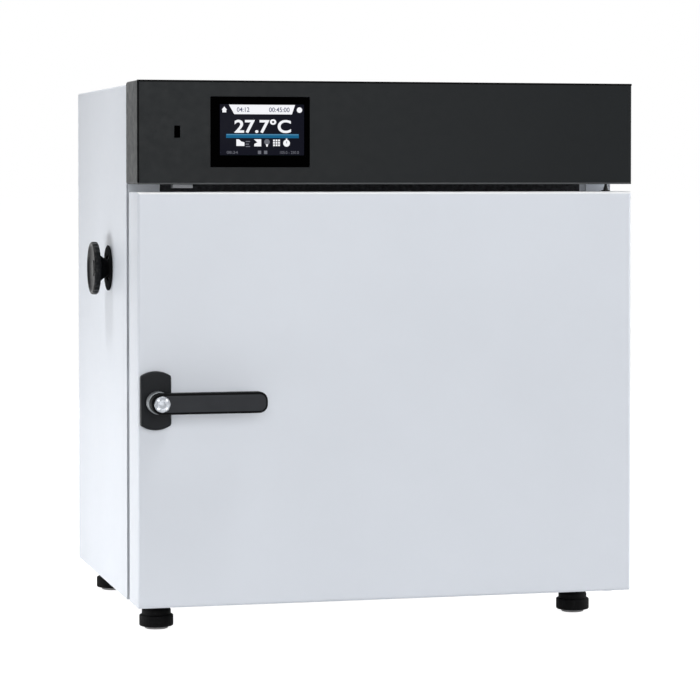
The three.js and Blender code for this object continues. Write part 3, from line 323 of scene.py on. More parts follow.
def piece(name, mesh, body, finish, stands_for=()):
    """A shown object that rides on a body and may stand for CAD nodes."""
    if isinstance(mesh, bmesh.types.BMesh):
        bmesh.ops.recalc_face_normals(mesh, faces=mesh.faces)
        made = bpy.data.meshes.new(name)
        mesh.to_mesh(made)
        mesh.free()
        mesh = made
    mesh.name = name
    mesh.materials.clear()
    mesh.materials.append(finish.material)
    mesh.shade_smooth()
    mesh.set_sharp_from_angle(angle=SMOOTH_ANGLE)
    thing = bpy.data.objects.new(name, mesh)
    bpy.context.scene.collection.objects.link(thing)
    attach(thing, body)
    if stands_for:
        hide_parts(*stands_for)
    return thing


def merged(*parts):
    """Several bmesh or mesh shapes as one bmesh."""
    whole = bmesh.new()
    for part in parts:
        if isinstance(part, bmesh.types.BMesh):
            mesh = bpy.data.meshes.new("part")
            part.to_mesh(mesh)
            part.free()
        else:
            mesh = part
        whole.from_mesh(mesh)
        bpy.data.meshes.remove(mesh)
    return whole


def rounded_block(low, high, radius, segments=3):
    """A block with all its edges rounded."""
    made = bmesh.new()
    bmesh.ops.create_cube(made, size=1)
    for vertex in made.verts:
        vertex.co = Vector(
            (a + b) / 2 + (b - a) * share for a, b, share in zip(low, high, vertex.co)
        ) * MM
    bmesh.ops.bevel(made, geom=made.edges[:], offset=radius * MM, offset_type="OFFSET",
                    segments=segments, profile=0.5, affect="EDGES", clamp_overlap=True)
    return made


def lathe(profile, centre, placing=TOP, segments=PLAIN_ROUND, closed=False, shape_at=None):
    """A turned shape. The profile is (radius, height) along the axis that placing gives."""
    made = bmesh.new()
    matrix = Matrix.Translation(in_metres(centre)) @ placing
    rings = []
    for radius, height in profile:
        ring = []
        for index in range(segments if radius else 1):
            angle = 2 * math.pi * index / segments
            reach, level = shape_at(radius, height, angle) if shape_at else (radius, height)
            point = Vector((reach * math.cos(angle), reach * math.sin(angle), level)) * MM
            ring.append(made.verts.new(matrix @ point))
        rings.append(ring)
    pairs = list(zip(rings, rings[1:]))
    if closed:
        pairs.append((rings[-1], rings[0]))
    for lower, upper in pairs:
        for index in range(segments):
            after = (index + 1) % segments
            corners = []
            for ring, step in ((lower, index), (lower, after), (upper, after), (upper, index)):
                vertex = ring[step % len(ring)]
                if vertex not in corners:
                    corners.append(vertex)
            if len(corners) > 2:
                made.faces.new(corners)
    return made


def bore_cutter(centre, placing, radius, start, end):
    """A plain rod that a bore is cut with."""
    profile = [(0, start), (radius, start), (radius, end), (0, end)]
    return lathe(profile, centre, placing, BORE_ROUND)


def arc(x, z, radius, start, turn, steps):
    """Points along an arc, from an angle on by a turn, both in degrees."""
    points = []
    for step in range(steps + 1):
        angle = math.radians(start + turn * step / steps)
        points.append((x + radius * math.cos(angle), z + radius * math.sin(angle)))
    return points


def rounded_outline(x, z, radius, steps=8):
    """A rectangle's outline with round corners, as points."""
    inner_x = (x[0] + radius, x[1] - radius)
    inner_z = (z[0] + radius, z[1] - radius)
    points = []
    for side_x, side_z, start in ((1, 1, 0), (0, 1, 90), (0, 0, 180), (1, 0, 270)):
        points += arc(inner_x[side_x], inner_z[side_z], radius, start, 90, steps)
    return points


def round_outline(x, z, radius, steps=32):
    return arc(x, z, radius, 0, 360, steps)[:-1]


def mesh_of(curve):
    """A curve's or text's own mesh."""
    thing = bpy.data.objects.new("drawn", curve)
    bpy.context.scene.collection.objects.link(thing)
    bpy.context.view_layer.update()
    graph = bpy.context.evaluated_depsgraph_get()
    mesh = bpy.data.meshes.new_from_object(thing.evaluated_get(graph))
    bpy.data.objects.remove(thing)
    return mesh


def plate(loops, near, far, placing, radius=0.0, steps=3):
    """A flat shape with holes, from near to far in front of the plane that placing gives."""
    curve = bpy.data.curves.new("outline", "CURVE")
    curve.dimensions = "2D"
    curve.fill_mode = "BOTH"
    curve.extrude = ((far - near) / 2 - radius) * MM
    curve.bevel_depth = radius * MM
    curve.bevel_resolution = steps
    curve.offset = -radius * MM
    for loop in loops:
        spline = curve.splines.new("POLY")
        spline.points.add(len(loop) - 1)
        for target, (x, z) in zip(spline.points, loop):
            target.co = (x * MM, z * MM, 0, 1)
        spline.use_cyclic_u = True
    mesh = mesh_of(curve)
    mesh.transform(placing @ Matrix.Translation((0, 0, (near + far) / 2 * MM)))
    return mesh


def tube(points, radius, closed=False, sides=6):
    """A round wire along points."""
    curve = bpy.data.curves.new("wire", "CURVE")
    curve.dimensions = "3D"
    curve.bevel_depth = radius * MM
    curve.bevel_resolution = sides
    curve.use_fill_caps = True
    spline = curve.splines.new("POLY")
    spline.points.add(len(points) - 1)
    for target, point in zip(spline.points, points):
        target.co = (*in_metres(point), 1)
    spline.use_cyclic_u = closed
    return mesh_of(curve)


def carved(body, cutters):
    """A closed shape less the cutters."""
    def shown(shape):
        bmesh.ops.recalc_face_normals(shape, faces=shape.faces)
        mesh = bpy.data.meshes.new("carving")
        shape.to_mesh(mesh)
        shape.free()
        thing = bpy.data.objects.new("carving", mesh)
        bpy.context.scene.collection.objects.link(thing)
        return thing

    base = shown(body)
    tools = [shown(cutter) for cutter in cutters]
    for tool in tools:
        cut = base.modifiers.new("cut", "BOOLEAN")
        cut.operation = "DIFFERENCE"
        cut.solver = "EXACT"
        cut.object = tool
    bpy.context.view_layer.update()
    graph = bpy.context.evaluated_depsgraph_get()
    mesh = bpy.data.meshes.new_from_object(base.evaluated_get(graph))
    for thing in (base, *tools):
        bpy.data.objects.remove(thing)
    return mesh


def even_shading(thing):
    """Large faces keep their own flat shading beside fine rounding."""
    normals = thing.modifiers.new("normals", "WEIGHTED_NORMAL")
    normals.keep_sharp = True


def soften(name, finish, width, segments=2, flatten=False):
    """A CAD node keeps its shape and gets its material and fine edge rounding."""
    thing = nodes[name]
    mesh = thing.data
    if "custom_normal" in mesh.attributes:
        mesh.attributes.remove(mesh.attributes["custom_normal"])
    mesh.shade_smooth()
    mesh.materials.clear()
    mesh.materials.append(finish.material)
    weld = thing.modifiers.new("weld", "WELD")
    weld.merge_threshold = WELD_REACH
    if flatten:
        flat = thing.modifiers.new("flat", "DECIMATE")
        flat.decimate_type = "DISSOLVE"
        flat.angle_limit = FLAT_ANGLE
    bevel = thing.modifiers.new("edges", "BEVEL")
    bevel.width = width * MM
    bevel.segments = segments
    bevel.limit_method = "ANGLE"
    bevel.angle_limit = SMOOTH_ANGLE
    bevel.harden_normals = True
    even_shading(thing)


# Camera: its place, in metres, and its lens were solved from the corners seen in the photograph

CAMERA_PLACE = (-0.80234, -3.21048, 0.51864)
CAMERA_TILT = 1.425
CAMERA_TURN = 14.272
LENS_LENGTH = 141.54
LENS_SHIFT = -0.15
SENSOR_WIDTH = 36

lens = bpy.data.cameras.new("photo_camera")
lens.lens = LENS_LENGTH
lens.shift_y = LENS_SHIFT
lens.sensor_width = SENSOR_WIDTH
camera = bpy.data.objects.new("photo_camera", lens)
camera.location = CAMERA_PLACE
camera.rotation_euler = (math.radians(90 - CAMERA_TILT), 0, math.radians(-CAMERA_TURN))
bpy.context.scene.collection.objects.link(camera)
bpy.context.scene.camera = camera
bpy.context.scene.view_settings.view_transform = "Standard"


# Backdrop and floor, which are white to the camera and shed little light

WHITE = (1, 1, 1, 1)
WHITE_LEVEL = 1.0
HORIZON_LIGHT = 0.22
ZENITH_LIGHT = 0.05
FLOOR_HALF = 60.0
FLOOR_COLOUR = (0.7, 0.7, 0.7, 1.0)
FLOOR_ROUGH = 0.9
FLOOR_GLOW = 0.93


def seen_directly(tree):
    """1 where the camera looks straight at it, or by way of a mirror or glass."""
    path = tree.nodes.new("ShaderNodeLightPath")
    total = path.outputs["Is Camera Ray"]
    for name in ("Is Glossy Ray", "Is Transmission Ray"):
        add = tree.nodes.new("ShaderNodeMath")
        add.operation = "MAXIMUM"
        tree.links.new(total, add.inputs[0])
        tree.links.new(path.outputs[name], add.inputs[1])
        total = add.outputs[0]
    return total


def make_backdrop():
    """A sky that gives less light from above than from the sides."""
    world = bpy.data.worlds.new("studio")
    world.use_nodes = True
    bpy.context.scene.world = world
    tree = world.node_tree
    sky = tree.nodes["Background"]
    sky.inputs["Color"].default_value = WHITE
    level = tree.nodes.new("ShaderNodeMix")
    level.data_type = "FLOAT"
    level.inputs["B"].default_value = WHITE_LEVEL
    place = tree.nodes.new("ShaderNodeTexCoord")
    parts = tree.nodes.new("ShaderNodeSeparateXYZ")
    fall = tree.nodes.new("ShaderNodeMapRange")
    fall.inputs["To Min"].default_value = HORIZON_LIGHT
    fall.inputs["To Max"].default_value = ZENITH_LIGHT
    tree.links.new(place.outputs["Generated"], parts.inputs["Vector"])
    tree.links.new(parts.outputs["Z"], fall.inputs["Value"])
    tree.links.new(fall.outputs["Result"], level.inputs["A"])
    tree.links.new(seen_directly(tree), level.inputs["Factor"])
    tree.links.new(level.outputs["Result"], sky.inputs["Strength"])


def make_floor():
    mesh = bpy.data.meshes.new("floor")
    corners = [(x * FLOOR_HALF, y * FLOOR_HALF, 0) for x, y in ((-1, -1), (1, -1), (1, 1), (-1, 1))]
    mesh.from_pydata(corners, [], [(0, 1, 2, 3)])
    floor = bpy.data.objects.new("floor", mesh)
    bpy.context.scene.collection.objects.link(floor)
    paint = bpy.data.materials.new("pale_floor")
    paint.use_nodes = True
    tree = paint.node_tree
    shader = tree.nodes["Principled BSDF"]
    shader.inputs["Base Color"].default_value = FLOOR_COLOUR
    shader.inputs["Roughness"].default_value = FLOOR_ROUGH
    shader.inputs["Specular IOR Level"].default_value = 0.0
    shader.inputs["Emission Color"].default_value = WHITE
    glow = tree.nodes.new("ShaderNodeMath")
    glow.operation = "MULTIPLY"
    glow.inputs[1].default_value = FLOOR_GLOW
    tree.links.new(seen_directly(tree), glow.inputs[0])
    tree.links.new(glow.outputs[0], shader.inputs["Emission Strength"])
    mesh.materials.append(paint)


make_backdrop()
make_floor()


# Lamps: places and sizes in metres, power in watts

def softbox(name, place, target, size, power, spread=180, mirrored=True):
    """A soft lamp that faces a point. A small spread is a lamp with a grid before it."""
    lamp = bpy.data.lights.new(name, "AREA")
    lamp.shape = "RECTANGLE"
    lamp.size, lamp.size_y = size
    lamp.energy = power
    lamp.spread = math.radians(spread)
    thing = bpy.data.objects.new(name, lamp)
    thing.location = place
    thing.visible_camera = False
    thing.visible_glossy = mirrored
    facing = Vector(target) - Vector(place)
    thing.rotation_euler = facing.to_track_quat("-Z", "Y").to_euler()
    bpy.context.scene.collection.objects.link(thing)


softbox("overhead", place=(0.33, -0.69, 2.13), target=(-0.1, -0.2, 0.3), size=(0.55, 0.55), power=12)
softbox("front_fill", place=(-0.3, -3.6, 0.9), target=(0, 0, 0.3), size=(2.4, 1.6), power=49)
softbox("left_low", place=(-0.9, 0.05, 0.1), target=(-0.28, 0.05, 0.1), size=(0.9, 0.2), power=2.7)
softbox("left_over", place=(-0.75, -0.05, 1.7), target=(-0.28, 0, 0.25), size=(0.2, 0.3), power=0.52,
        spread=40)
softbox("right_fill", place=(2.4, -0.5, 0.7), target=(0.3, -0.1, 0.35), size=(1.4, 1.0), power=23)
softbox("back_fill", place=(0.4, 3.0, 1.0), target=(0, 0.2, 0.3), size=(2.0, 1.4), power=33,
        mirrored=False)


# CAD nodes that keep their shape

SHEET_EDGE = 0.3
FLAT_SHEET = "rear_cover"
DRESSED = {
    white_paint: [
        "casing_wrap", "base_pan", "front_frame", "rear_cover", "hinge_bracket_top", "hinge_bracket_bottom",
    ],
    # Painted shade: the grille's ribs take the dark colour of the slot's shade
    slot_shade_foam: ["vent_grille"],
    rosette_black: ["vent_rosette"],
    dark_paint: ["control_panel"],
    gloss_black: ["display_bezel", "usb_socket"],
    moulded_black: [
        "vent_shutter", "mains_inlet", "switch_frame", "mains_rocker", "latch_case",
        "hinge_bush_top", "hinge_bush_bottom", "solid_state_relay",
    ],
    gasket_silicone: ["door_gasket"],
    steel: [
        "chamber_liner", "shelf_rail_left", "shelf_rail_right", "vent_tube", "exhaust_tube",
        "door_inner_panel", "temperature_probe",
    ],
    zinc: [
        "rear_bulkhead", "bay_floor", "power_supply", "hinge_pin_bottom", "latch_keeper",
        "handle_spindle", "latch_cam", "fan_motor",
    ],
    aluminium: ["relay_heatsink", "fan_wheel"],
    heater_steel: ["heater_ring"],
    wool: ["insulation_jacket", "rear_insulation", "door_insulation"],
    board_green: ["display_board", "control_board"],
    sensor_grey: ["door_sensor"],
}
for node_finish, names in DRESSED.items():
    for node_name in names:
        soften(node_name, node_finish, SHEET_EDGE, flatten=node_name == FLAT_SHEET)


# Places that the frame gives: a dressed face lies just before its CAD face

FACE_LIFT = 0.05
skin_low, skin_high = box_of("door_skin")
spindle = middle_of("handle_spindle")
hinge = middle_of("hinge_pin_top")
DOOR_FACE = skin_low.y - FACE_LIFT
handle_place = (spindle.x, DOOR_FACE, spindle.z)


# Door skin: a folded sheet pan with rounded front edges

SKIN_SHEET = 1.5
SKIN_ROUND = 3.4
SKIN_CORNER = 1.5
SKIN_INNER_CORNER = 0.45
SKIN_FINEST_CORNER = 0.15
SKIN_FLAT = 0.6
ROUND_STEPS = 6
CORNER_STEPS = 4
SPINDLE_BORE_RADIUS = 7.4
BUSH_BORE_RADIUS = 4.9
BORE_OVERRUN = 2.0
HIGHLIGHT_TILT = 0.15
HIGHLIGHT_BELOW = 4.0


def door_pan():
    """A box that is open at the back, with rounded front edges."""
    rims = [(SKIN_ROUND + SKIN_FLAT, 0.0)]
    for step in range(ROUND_STEPS + 1):
        turn = math.pi / 2 * step / ROUND_STEPS
        rims.append((SKIN_ROUND * (1 - math.sin(turn)), SKIN_ROUND * (1 - math.cos(turn))))
    depth = skin_high.y - skin_low.y
    rims += [(0.0, depth), (SKIN_SHEET, depth), (SKIN_SHEET, SKIN_SHEET)]
    made = bmesh.new()
    rings = []
    for inset, back in rims:
        least = SKIN_INNER_CORNER if inset == SKIN_SHEET else SKIN_FINEST_CORNER
        radius = max(SKIN_CORNER * max(0.0, 1 - inset / SKIN_ROUND), least)
        wide = (skin_low.x + inset, skin_high.x - inset)
        tall = (skin_low.z + inset, skin_high.z - inset)
        outline = rounded_outline(wide, tall, radius, CORNER_STEPS)
        rings.append([made.verts.new(in_metres((x, skin_low.y + back, z))) for x, z in outline])
    made.faces.new(rings[0])
    made.faces.new(rings[-1])
    for outer, after in zip(rings, rings[1:]):
        for index in range(len(outer)):
            following = (index + 1) % len(outer)
            made.faces.new((outer[index], outer[following], after[following], after[index]))
    return made


def make_door_skin():
    """The pan with bores for the spindle and the hinge bushes. Its upper front edge is painted a lighter
    white as a highlight.
    """
    through = SKIN_SHEET + BORE_OVERRUN
    front = (spindle.x, skin_low.y, spindle.z)
    bores = [bore_cutter(front, BACK, SPINDLE_BORE_RADIUS, -BORE_OVERRUN, through)]
    for edge in (skin_low.z, skin_high.z):
        bores.append(bore_cutter((hinge.x, hinge.y, edge), TOP, BUSH_BORE_RADIUS, -through, through))
    shell = piece("door_shell", carved(door_pan(), bores), "door", white_paint, ["door_skin"])
    # Painted highlight: the slanted polygons of the upper front rounding get the lighter white
    shell.data.materials.append(painted_edge_highlight.material)
    shell_top = max(vertex.co.z for vertex in shell.data.vertices)
    for polygon in shell.data.polygons:
        near_top = polygon.center.z > shell_top - HIGHLIGHT_BELOW * MM
        slanted = polygon.normal.z > HIGHLIGHT_TILT and -polygon.normal.y > HIGHLIGHT_TILT
        polygon.material_index = int(near_top and slanted)
    even_shading(shell)


make_door_skin()


# Handle rose with its neck: heights are measured from the door's face

ROSE_INSET = 0.2
ROSE_NEAR = 0.2
ROSE_FAR = 10.2
ROSE_ROUND = 2.8
ROSE_ROUND_STEPS = 5
ROSE_ARCH = 5.6
ROSE_CORNER = 2.0
ROSE_ARCH_STEPS = 18
CORNER_SIDE_SHARE = 0.3
CORNER_DOWN_SHARE = 0.45
NECK_PROFILE = [(7.8, 10.0), (9.9, 10.0), (9.9, 16.5), (9.6, 16.7), (7.8, 16.7)]

rose_low, rose_high = box_of("handle_rose")
rose = middle_of("handle_rose")


def before_door(height):
    """A height above the door's face, as a distance before the row frame's middle plane."""
    return height - DOOR_FACE


def on_front(x, z):
    return Matrix.Translation(in_metres((x, 0, z))) @ FRONT


def rose_outline():
    """Straight sides with arched ends, and small round corners between them."""
    half = (rose_high.x - rose_low.x) / 2 - ROSE_INSET
    tall = (rose_high.z - rose_low.z) / 2 - ROSE_INSET
    reach = (half ** 2 + ROSE_ARCH ** 2) / (2 * ROSE_ARCH)
    half_angle = math.degrees(math.asin((half - ROSE_CORNER) / reach))
    low = tall - reach + reach * math.cos(math.radians(half_angle))
    corner = (half - ROSE_CORNER * CORNER_SIDE_SHARE, low - ROSE_CORNER * CORNER_DOWN_SHARE)
    side = tall - ROSE_ARCH - ROSE_CORNER
    end = arc(0, tall - reach, reach, 90 - half_angle, 2 * half_angle, ROSE_ARCH_STEPS)
    end += [(-corner[0], corner[1]), (-half, side), (-half, -side), (-corner[0], -corner[1])]
    return end + [(-x, -z) for x, z in end]


rose_body = plate([rose_outline()], before_door(ROSE_NEAR), before_door(ROSE_FAR),
                  on_front(rose.x, rose.z), ROSE_ROUND, ROSE_ROUND_STEPS)
rose_neck = lathe(NECK_PROFILE, handle_place, FRONT, closed=True)
piece("rose_plate", merged(rose_body, rose_neck), "door", rose_finish, ["handle_rose"])


# Lever with its hub and the metal sleeve round it

SLEEVE_PROFILE = [
    (11.3, 17.4), (12.4, 17.4), (12.7, 17.7), (12.7, 28.6), (12.4, 29.3), (11.8, 29.6), (11.3, 29.6),
]
HUB_PROFILE = [(0, 17.5), (10.9, 17.5), (11.1, 17.7), (11.1, 30.2), (8.6, 46.6), (0, 46.6)]
LEVER_TIP_RADIUS = 9.5
LEVER_NEAR = 30.4
LEVER_ROUND = 3.4
LEVER_ROUND_STEPS = 5
LEVER_TIP_STEPS = 12
FACING = 0.94

lever_low, lever_high = box_of("lever_handle")

piece("hub_sleeve", lathe(SLEEVE_PROFILE, handle_place, FRONT, FINE_ROUND, closed=True), "handle",
      ring_metal, ["hub_ring"])


def lever_outline():
    """Half a circle round the hub, and a tip with two round corners."""
    half = (lever_high.z - lever_low.z) / 2
    tip_x = lever_high.x - spindle.x - LEVER_TIP_RADIUS
    tip_z = half - LEVER_TIP_RADIUS
    points = arc(0, 0, half, 90, 180, 2 * LEVER_TIP_STEPS)
    points += arc(tip_x, -tip_z, LEVER_TIP_RADIUS, -90, 90, LEVER_TIP_STEPS)
    points += arc(tip_x, tip_z, LEVER_TIP_RADIUS, 0, 90, LEVER_TIP_STEPS)
    return points


def make_lever():
    """The bar and its hub. Only what faces the front keeps the grey-black; every other face is painted near
    black as shade.
    """
    bar = plate([lever_outline()], before_door(LEVER_NEAR), FACE_LIFT - lever_low.y,
                on_front(spindle.x, spindle.z), LEVER_ROUND, LEVER_ROUND_STEPS)
    hub = lathe(HUB_PROFILE, handle_place, FRONT)
    lever = piece("lever", merged(bar, hub), "handle", lever_finish, ["lever_handle"])
    lever.data.materials.append(lever_painted_shade.material)
    # Painted shade: faces turned away from the front get the near-black
    for polygon in lever.data.polygons:
        polygon.material_index = int(-polygon.normal.y <= FACING)


make_lever()


# Key cylinder: a very round octagon with a dished face and four studs, whose lighter metal is a painted
# highlight

KEY_RADIUS = 9.0
KEY_BACK = 41.0
KEY_SHOULDER = 47.9
KEY_ROUND = 1.3
KEY_ROUND_STEPS = 6
KEY_DISH = [(7.2, 49.15), (6.8, 48.9), (3.4, 48.8), (3.0, 49.0), (1.4, 49.1), (0, 49.1)]
KEY_SIDES = 8
KEY_SIDE_SHARE = 0.018
STUDS = 4
STUD_REACH = 6.6
STUD_PROFILE = [(0, 48.5), (1.9, 48.5), (1.9, 48.8), (1.52, 49.1), (0.855, 49.3), (0, 49.35)]


def key_sided(radius, height, angle):
    return radius * (1 - KEY_SIDE_SHARE * (1 - math.cos(KEY_SIDES * angle))), height


def key_profile():
    shoulder = arc(KEY_RADIUS - KEY_ROUND, KEY_SHOULDER, KEY_ROUND, 0, 90, KEY_ROUND_STEPS)
    return [(0, KEY_BACK), (KEY_RADIUS, KEY_BACK)] + shoulder + KEY_DISH


piece("key_cap", lathe(key_profile(), handle_place, FRONT, FINE_ROUND, shape_at=key_sided), "key",
      satin_key, ["key_cylinder"])
studs = []
for count in range(STUDS):
    turn = math.pi / STUDS * (2 * count + 1)
    stud_x = spindle.x + STUD_REACH * math.cos(turn)
    stud_z = spindle.z + STUD_REACH * math.sin(turn)
    studs.append(lathe(STUD_PROFILE, (stud_x, DOOR_FACE, stud_z), FRONT, SMALL_ROUND))
# Painted highlight: the studs are lighter than the cap to stand for its bright spots
piece("key_studs", merged(*studs), "key", key_stud_highlight)


# Vent knob on the left wall: heights are measured from the wall

DISC_RADIUS = 31.1
FLUTES = 24
FLUTE_STEPS = 10
FLUTE_DEPTH = 0.6
FLUTED_FROM = 28.6
KNOB_PROFILE = [
    (0, 2.9), (9.6, 2.9), (10.0, 3.3), (10.3, 4.4), (17.4, 13.3), (18.6, 13.7), (24, 13.8),
    (27.8, 13.9), (28.6, 14.0), (29.8, 14.3), (30.7, 15.0), (DISC_RADIUS, 16.0), (DISC_RADIUS, 19.6),
    (30.8, 20.7), (30.1, 21.4), (29.2, 21.8), (28.2, 21.8), (27.2, 21.3), (26.2, 20.4),
    (25.0, 19.6), (22, 19.1), (12, 18.7), (0, 18.6),
]
CAP_PROFILE = [(0, 18.6), (9.4, 18.7), (9.4, 19.3), (9.0, 19.7), (8.2, 19.9), (0, 20.1)]

wall = box_of("casing_wrap")[0].x
vent = middle_of("vent_tube")
vent_place = (wall, vent.y, vent.z)


def fluted(radius, height, angle):
    """The disc's rim is fluted, and its faces aren't."""
    if radius < FLUTED_FROM:
        return radius, height
    share = (radius - FLUTED_FROM) / (DISC_RADIUS - FLUTED_FROM)
    return radius - share * FLUTE_DEPTH * (0.5 + 0.5 * math.cos(FLUTES * angle)), height


piece("vent_control", lathe(KNOB_PROFILE, vent_place, LEFT, FLUTES * FLUTE_STEPS, shape_at=fluted), "vent",
      knob_plastic, ["vent_knob"])
piece("knob_cap", lathe(CAP_PROFILE, vent_place, LEFT), "vent", knob_plastic)


# Feet

FOOT_PROFILE = [
    (0, 3.0), (17.6, 3.0), (18.8, 3.3), (19.4, 4.0), (19.6, 5.0), (19.6, 14.8), (19.3, 15.6),
    (18.6, 16.0), (17.4, 16.2), (16.9, 16.6), (16.8, 17.4), (16.8, 21.2), (16.6, 21.8),
    (13.6, 25.3), (13.4, 25.8), (13.4, 36.6), (12.8, 37.1), (3.8, 37.2), (3.8, 49.0), (3.3, 49.5),
    (0, 49.5),
]
GLIDE_PROFILE = [(0, 0), (12.6, 0), (13.2, 0.3), (13.4, 0.9), (13.4, 2.5), (13.0, 2.9), (0, 2.9)]
GRIPS = 36
GRIP_STEPS = 4
GRIP_DEPTH = 0.35
GRIPPED_FROM = 19.55
GRIP_LOW = 4.5
GRIP_HIGH = 15


def gripped(radius, height, angle):
    """The base has shallow upright grooves to turn it by."""
    if radius < GRIPPED_FROM or not GRIP_LOW < height < GRIP_HIGH:
        return radius, height
    return radius - GRIP_DEPTH * max(0.0, math.cos(GRIPS * angle)), height


for corner in ("front_left", "front_right", "rear_left", "rear_right"):
    foot = middle_of("foot_" + corner)
    foot_place = (foot.x, foot.y, 0)
    foot_shape = lathe(FOOT_PROFILE, foot_place, TOP, GRIPS * GRIP_STEPS, shape_at=gripped)
    piece("level_foot_" + corner, foot_shape, "cabinet", rubber, ["foot_" + corner])
    piece("foot_glide_" + corner, lathe(GLIDE_PROFILE, foot_place), "cabinet", glide_rubber)


# Display: a lit screen behind black glass, with plain figures and generic signs

SIGN_THICK = 0.08
LOWER_SIGN = 0.05
UPPER_SIGN = 0.14
PANE_EDGE = 0.3
LETTER_STEPS = 6
LETTER_HALF = 0.5
DISC_STEPS = 28

screen_low, screen_high = box_of("display_screen")
SCREEN_FACE = FACE_LIFT - screen_low.y


def on_screen(points):
    """Points measured from the screen's top left corner, as places on the front."""
    return [(screen_low.x + u, screen_high.z - v) for u, v in points]


def sign(name, loop, finish, lift=LOWER_SIGN):
    """A thin lit shape on the screen."""
    near = SCREEN_FACE + lift
    piece(name, plate([on_screen(loop)], near, near + SIGN_THICK, FRONT), "cabinet", finish)


def lettering(name, words, box, finish, bold=0.0, lift=LOWER_SIGN):
    """Figures that fill a box of the screen: left, top, right and bottom."""
    curve = bpy.data.curves.new(name, "FONT")
    curve.body = words
    curve.extrude = LETTER_HALF
    curve.offset = bold
    curve.resolution_u = LETTER_STEPS
    mesh = mesh_of(curve)
    low = [min(vertex.co[axis] for vertex in mesh.vertices) for axis in range(3)]
    high = [max(vertex.co[axis] for vertex in mesh.vertices) for axis in range(3)]
    left, top, right, bottom = box
    (x0, z1), (x1, z0) = on_screen([(left, top), (right, bottom)])
    near = SCREEN_FACE + lift
    target_low = (x0, z0, near)
    target_high = (x1, z1, near + SIGN_THICK)
    for vertex in mesh.vertices:
        vertex.co = Vector(
            to_low + (value - a) / (b - a) * (to_high - to_low)
            for value, a, b, to_low, to_high in zip(vertex.co, low, high, target_low, target_high)
        ) * MM
    mesh.transform(FRONT)
    piece(name, mesh, "cabinet", finish)


def box_loop(left, top, right, bottom):
    return [(left, bottom), (right, bottom), (right, top), (left, top)]


def disc_loop(u, v, radius):
    return round_outline(u, v, radius, DISC_STEPS)


pane_low = (screen_low.x, -SCREEN_FACE, screen_low.z)
pane_high = (screen_high.x, screen_high.y - FACE_LIFT, screen_high.z)
piece("screen_pane", rounded_block(pane_low, pane_high, PANE_EDGE, 2), "cabinet", screen_dark,
      ["display_screen"])

# Banner with the date's and the time's figures

BANNER = [(10.1, 0.5), (85.9, 0.5), (82.3, 11.1), (16.2, 11.1)]
BANNER_TEXT_TOP = 3.4
BANNER_TEXT_BOTTOM = 8.6
BANNER_BOLD = 0.01
BANNER_TEXTS = (("banner_left", "04:12", 19.2, 33.5), ("banner_right", "00:45:00", 56.0, 79.6))
ROOF = [(1.9, 6.2), (4.9, 2.6), (7.9, 6.2), (7.1, 6.2), (7.1, 9.2), (2.7, 9.2), (2.7, 6.2)]
CORNER_DISC = (91.0, 6.2, 3.1)

sign("banner", BANNER, screen_white)
for name, words, left, right in BANNER_TEXTS:
    text_box = (left, BANNER_TEXT_TOP, right, BANNER_TEXT_BOTTOM)
    lettering(name, words, text_box, screen_ink, BANNER_BOLD, UPPER_SIGN)
sign("corner_roof", ROOF, screen_white)
sign("corner_disc", disc_loop(*CORNER_DISC), screen_white)

# Temperature over a level bar

READING_BOX = (16.4, 16.6, 81.2, 32.2)
READING_BOLD = 0.022
LEVEL_BAR = (6.9, 33.1, 90.2, 37.7)
LEVEL_BAR_LIGHT = (7.4, 33.5, 89.7, 34.4)

lettering("reading", "27.7°C", READING_BOX, screen_white, READING_BOLD)
sign("level_bar", box_loop(*LEVEL_BAR), screen_blue)
sign("level_bar_light", box_loop(*LEVEL_BAR_LIGHT), screen_pale_blue, UPPER_SIGN)

# Row of signs: a ramp with its lines, a page, a bulb, a grid and a timer

RAMP = [(18.6, 46.6), (27.8, 46.6), (27.8, 42.6), (24.2, 41.6), (21.6, 39.2), (18.6, 39.2)]
RAMP_LINES = ((41.1, 34.2), (44.0, 33.0), (46.6, 34.2))
RAMP_LINE_LEFT = 29.2
RAMP_LINE_TALL = 1.1
PAGE = [(39.0, 47.0), (47.0, 47.0), (47.0, 39.0), (38.6, 39.0), (42.6, 42.6), (39.0, 44.4)]
BULB = (53.6, 42.0, 3.2)
BULB_TIP = [(52.1, 44.6), (55.1, 44.6), (54.2, 47.4), (53.0, 47.4)]
GRID_CORNER = (60.6, 39.3)
GRID_PITCH = (2.9, 2.7)
GRID_CELL = (2.1, 2.0)
GRID_LINES = 3
TIMER = (76.1, 43.4, 3.9)
TIMER_STEM = (75.2, 38.2, 77.0, 40.0)
TIMER_HAND = (75.8, 41.2, 76.4, 43.6)

sign("ramp_sign", RAMP, screen_white)
for line, (top, right) in enumerate(RAMP_LINES):
    sign(f"ramp_line_{line}", box_loop(RAMP_LINE_LEFT, top, right, top + RAMP_LINE_TALL), screen_grey)
sign("page_sign", PAGE, screen_white)
sign("bulb_sign", disc_loop(*BULB), screen_grey)
sign("bulb_tip", BULB_TIP, screen_white, UPPER_SIGN)
for row in range(GRID_LINES):
    for column in range(GRID_LINES):
        left = GRID_CORNER[0] + column * GRID_PITCH[0]
        top = GRID_CORNER[1] + row * GRID_PITCH[1]
        cell = box_loop(left, top, left + GRID_CELL[0], top + GRID_CELL[1])
        sign(f"grid_{row}_{column}", cell, screen_white)
sign("timer_sign", disc_loop(*TIMER), screen_white)
sign("timer_stem", box_loop(*TIMER_STEM), screen_white, UPPER_SIGN)
sign("timer_hand", box_loop(*TIMER_HAND), screen_dark, UPPER_SIGN)

# Foot of the page

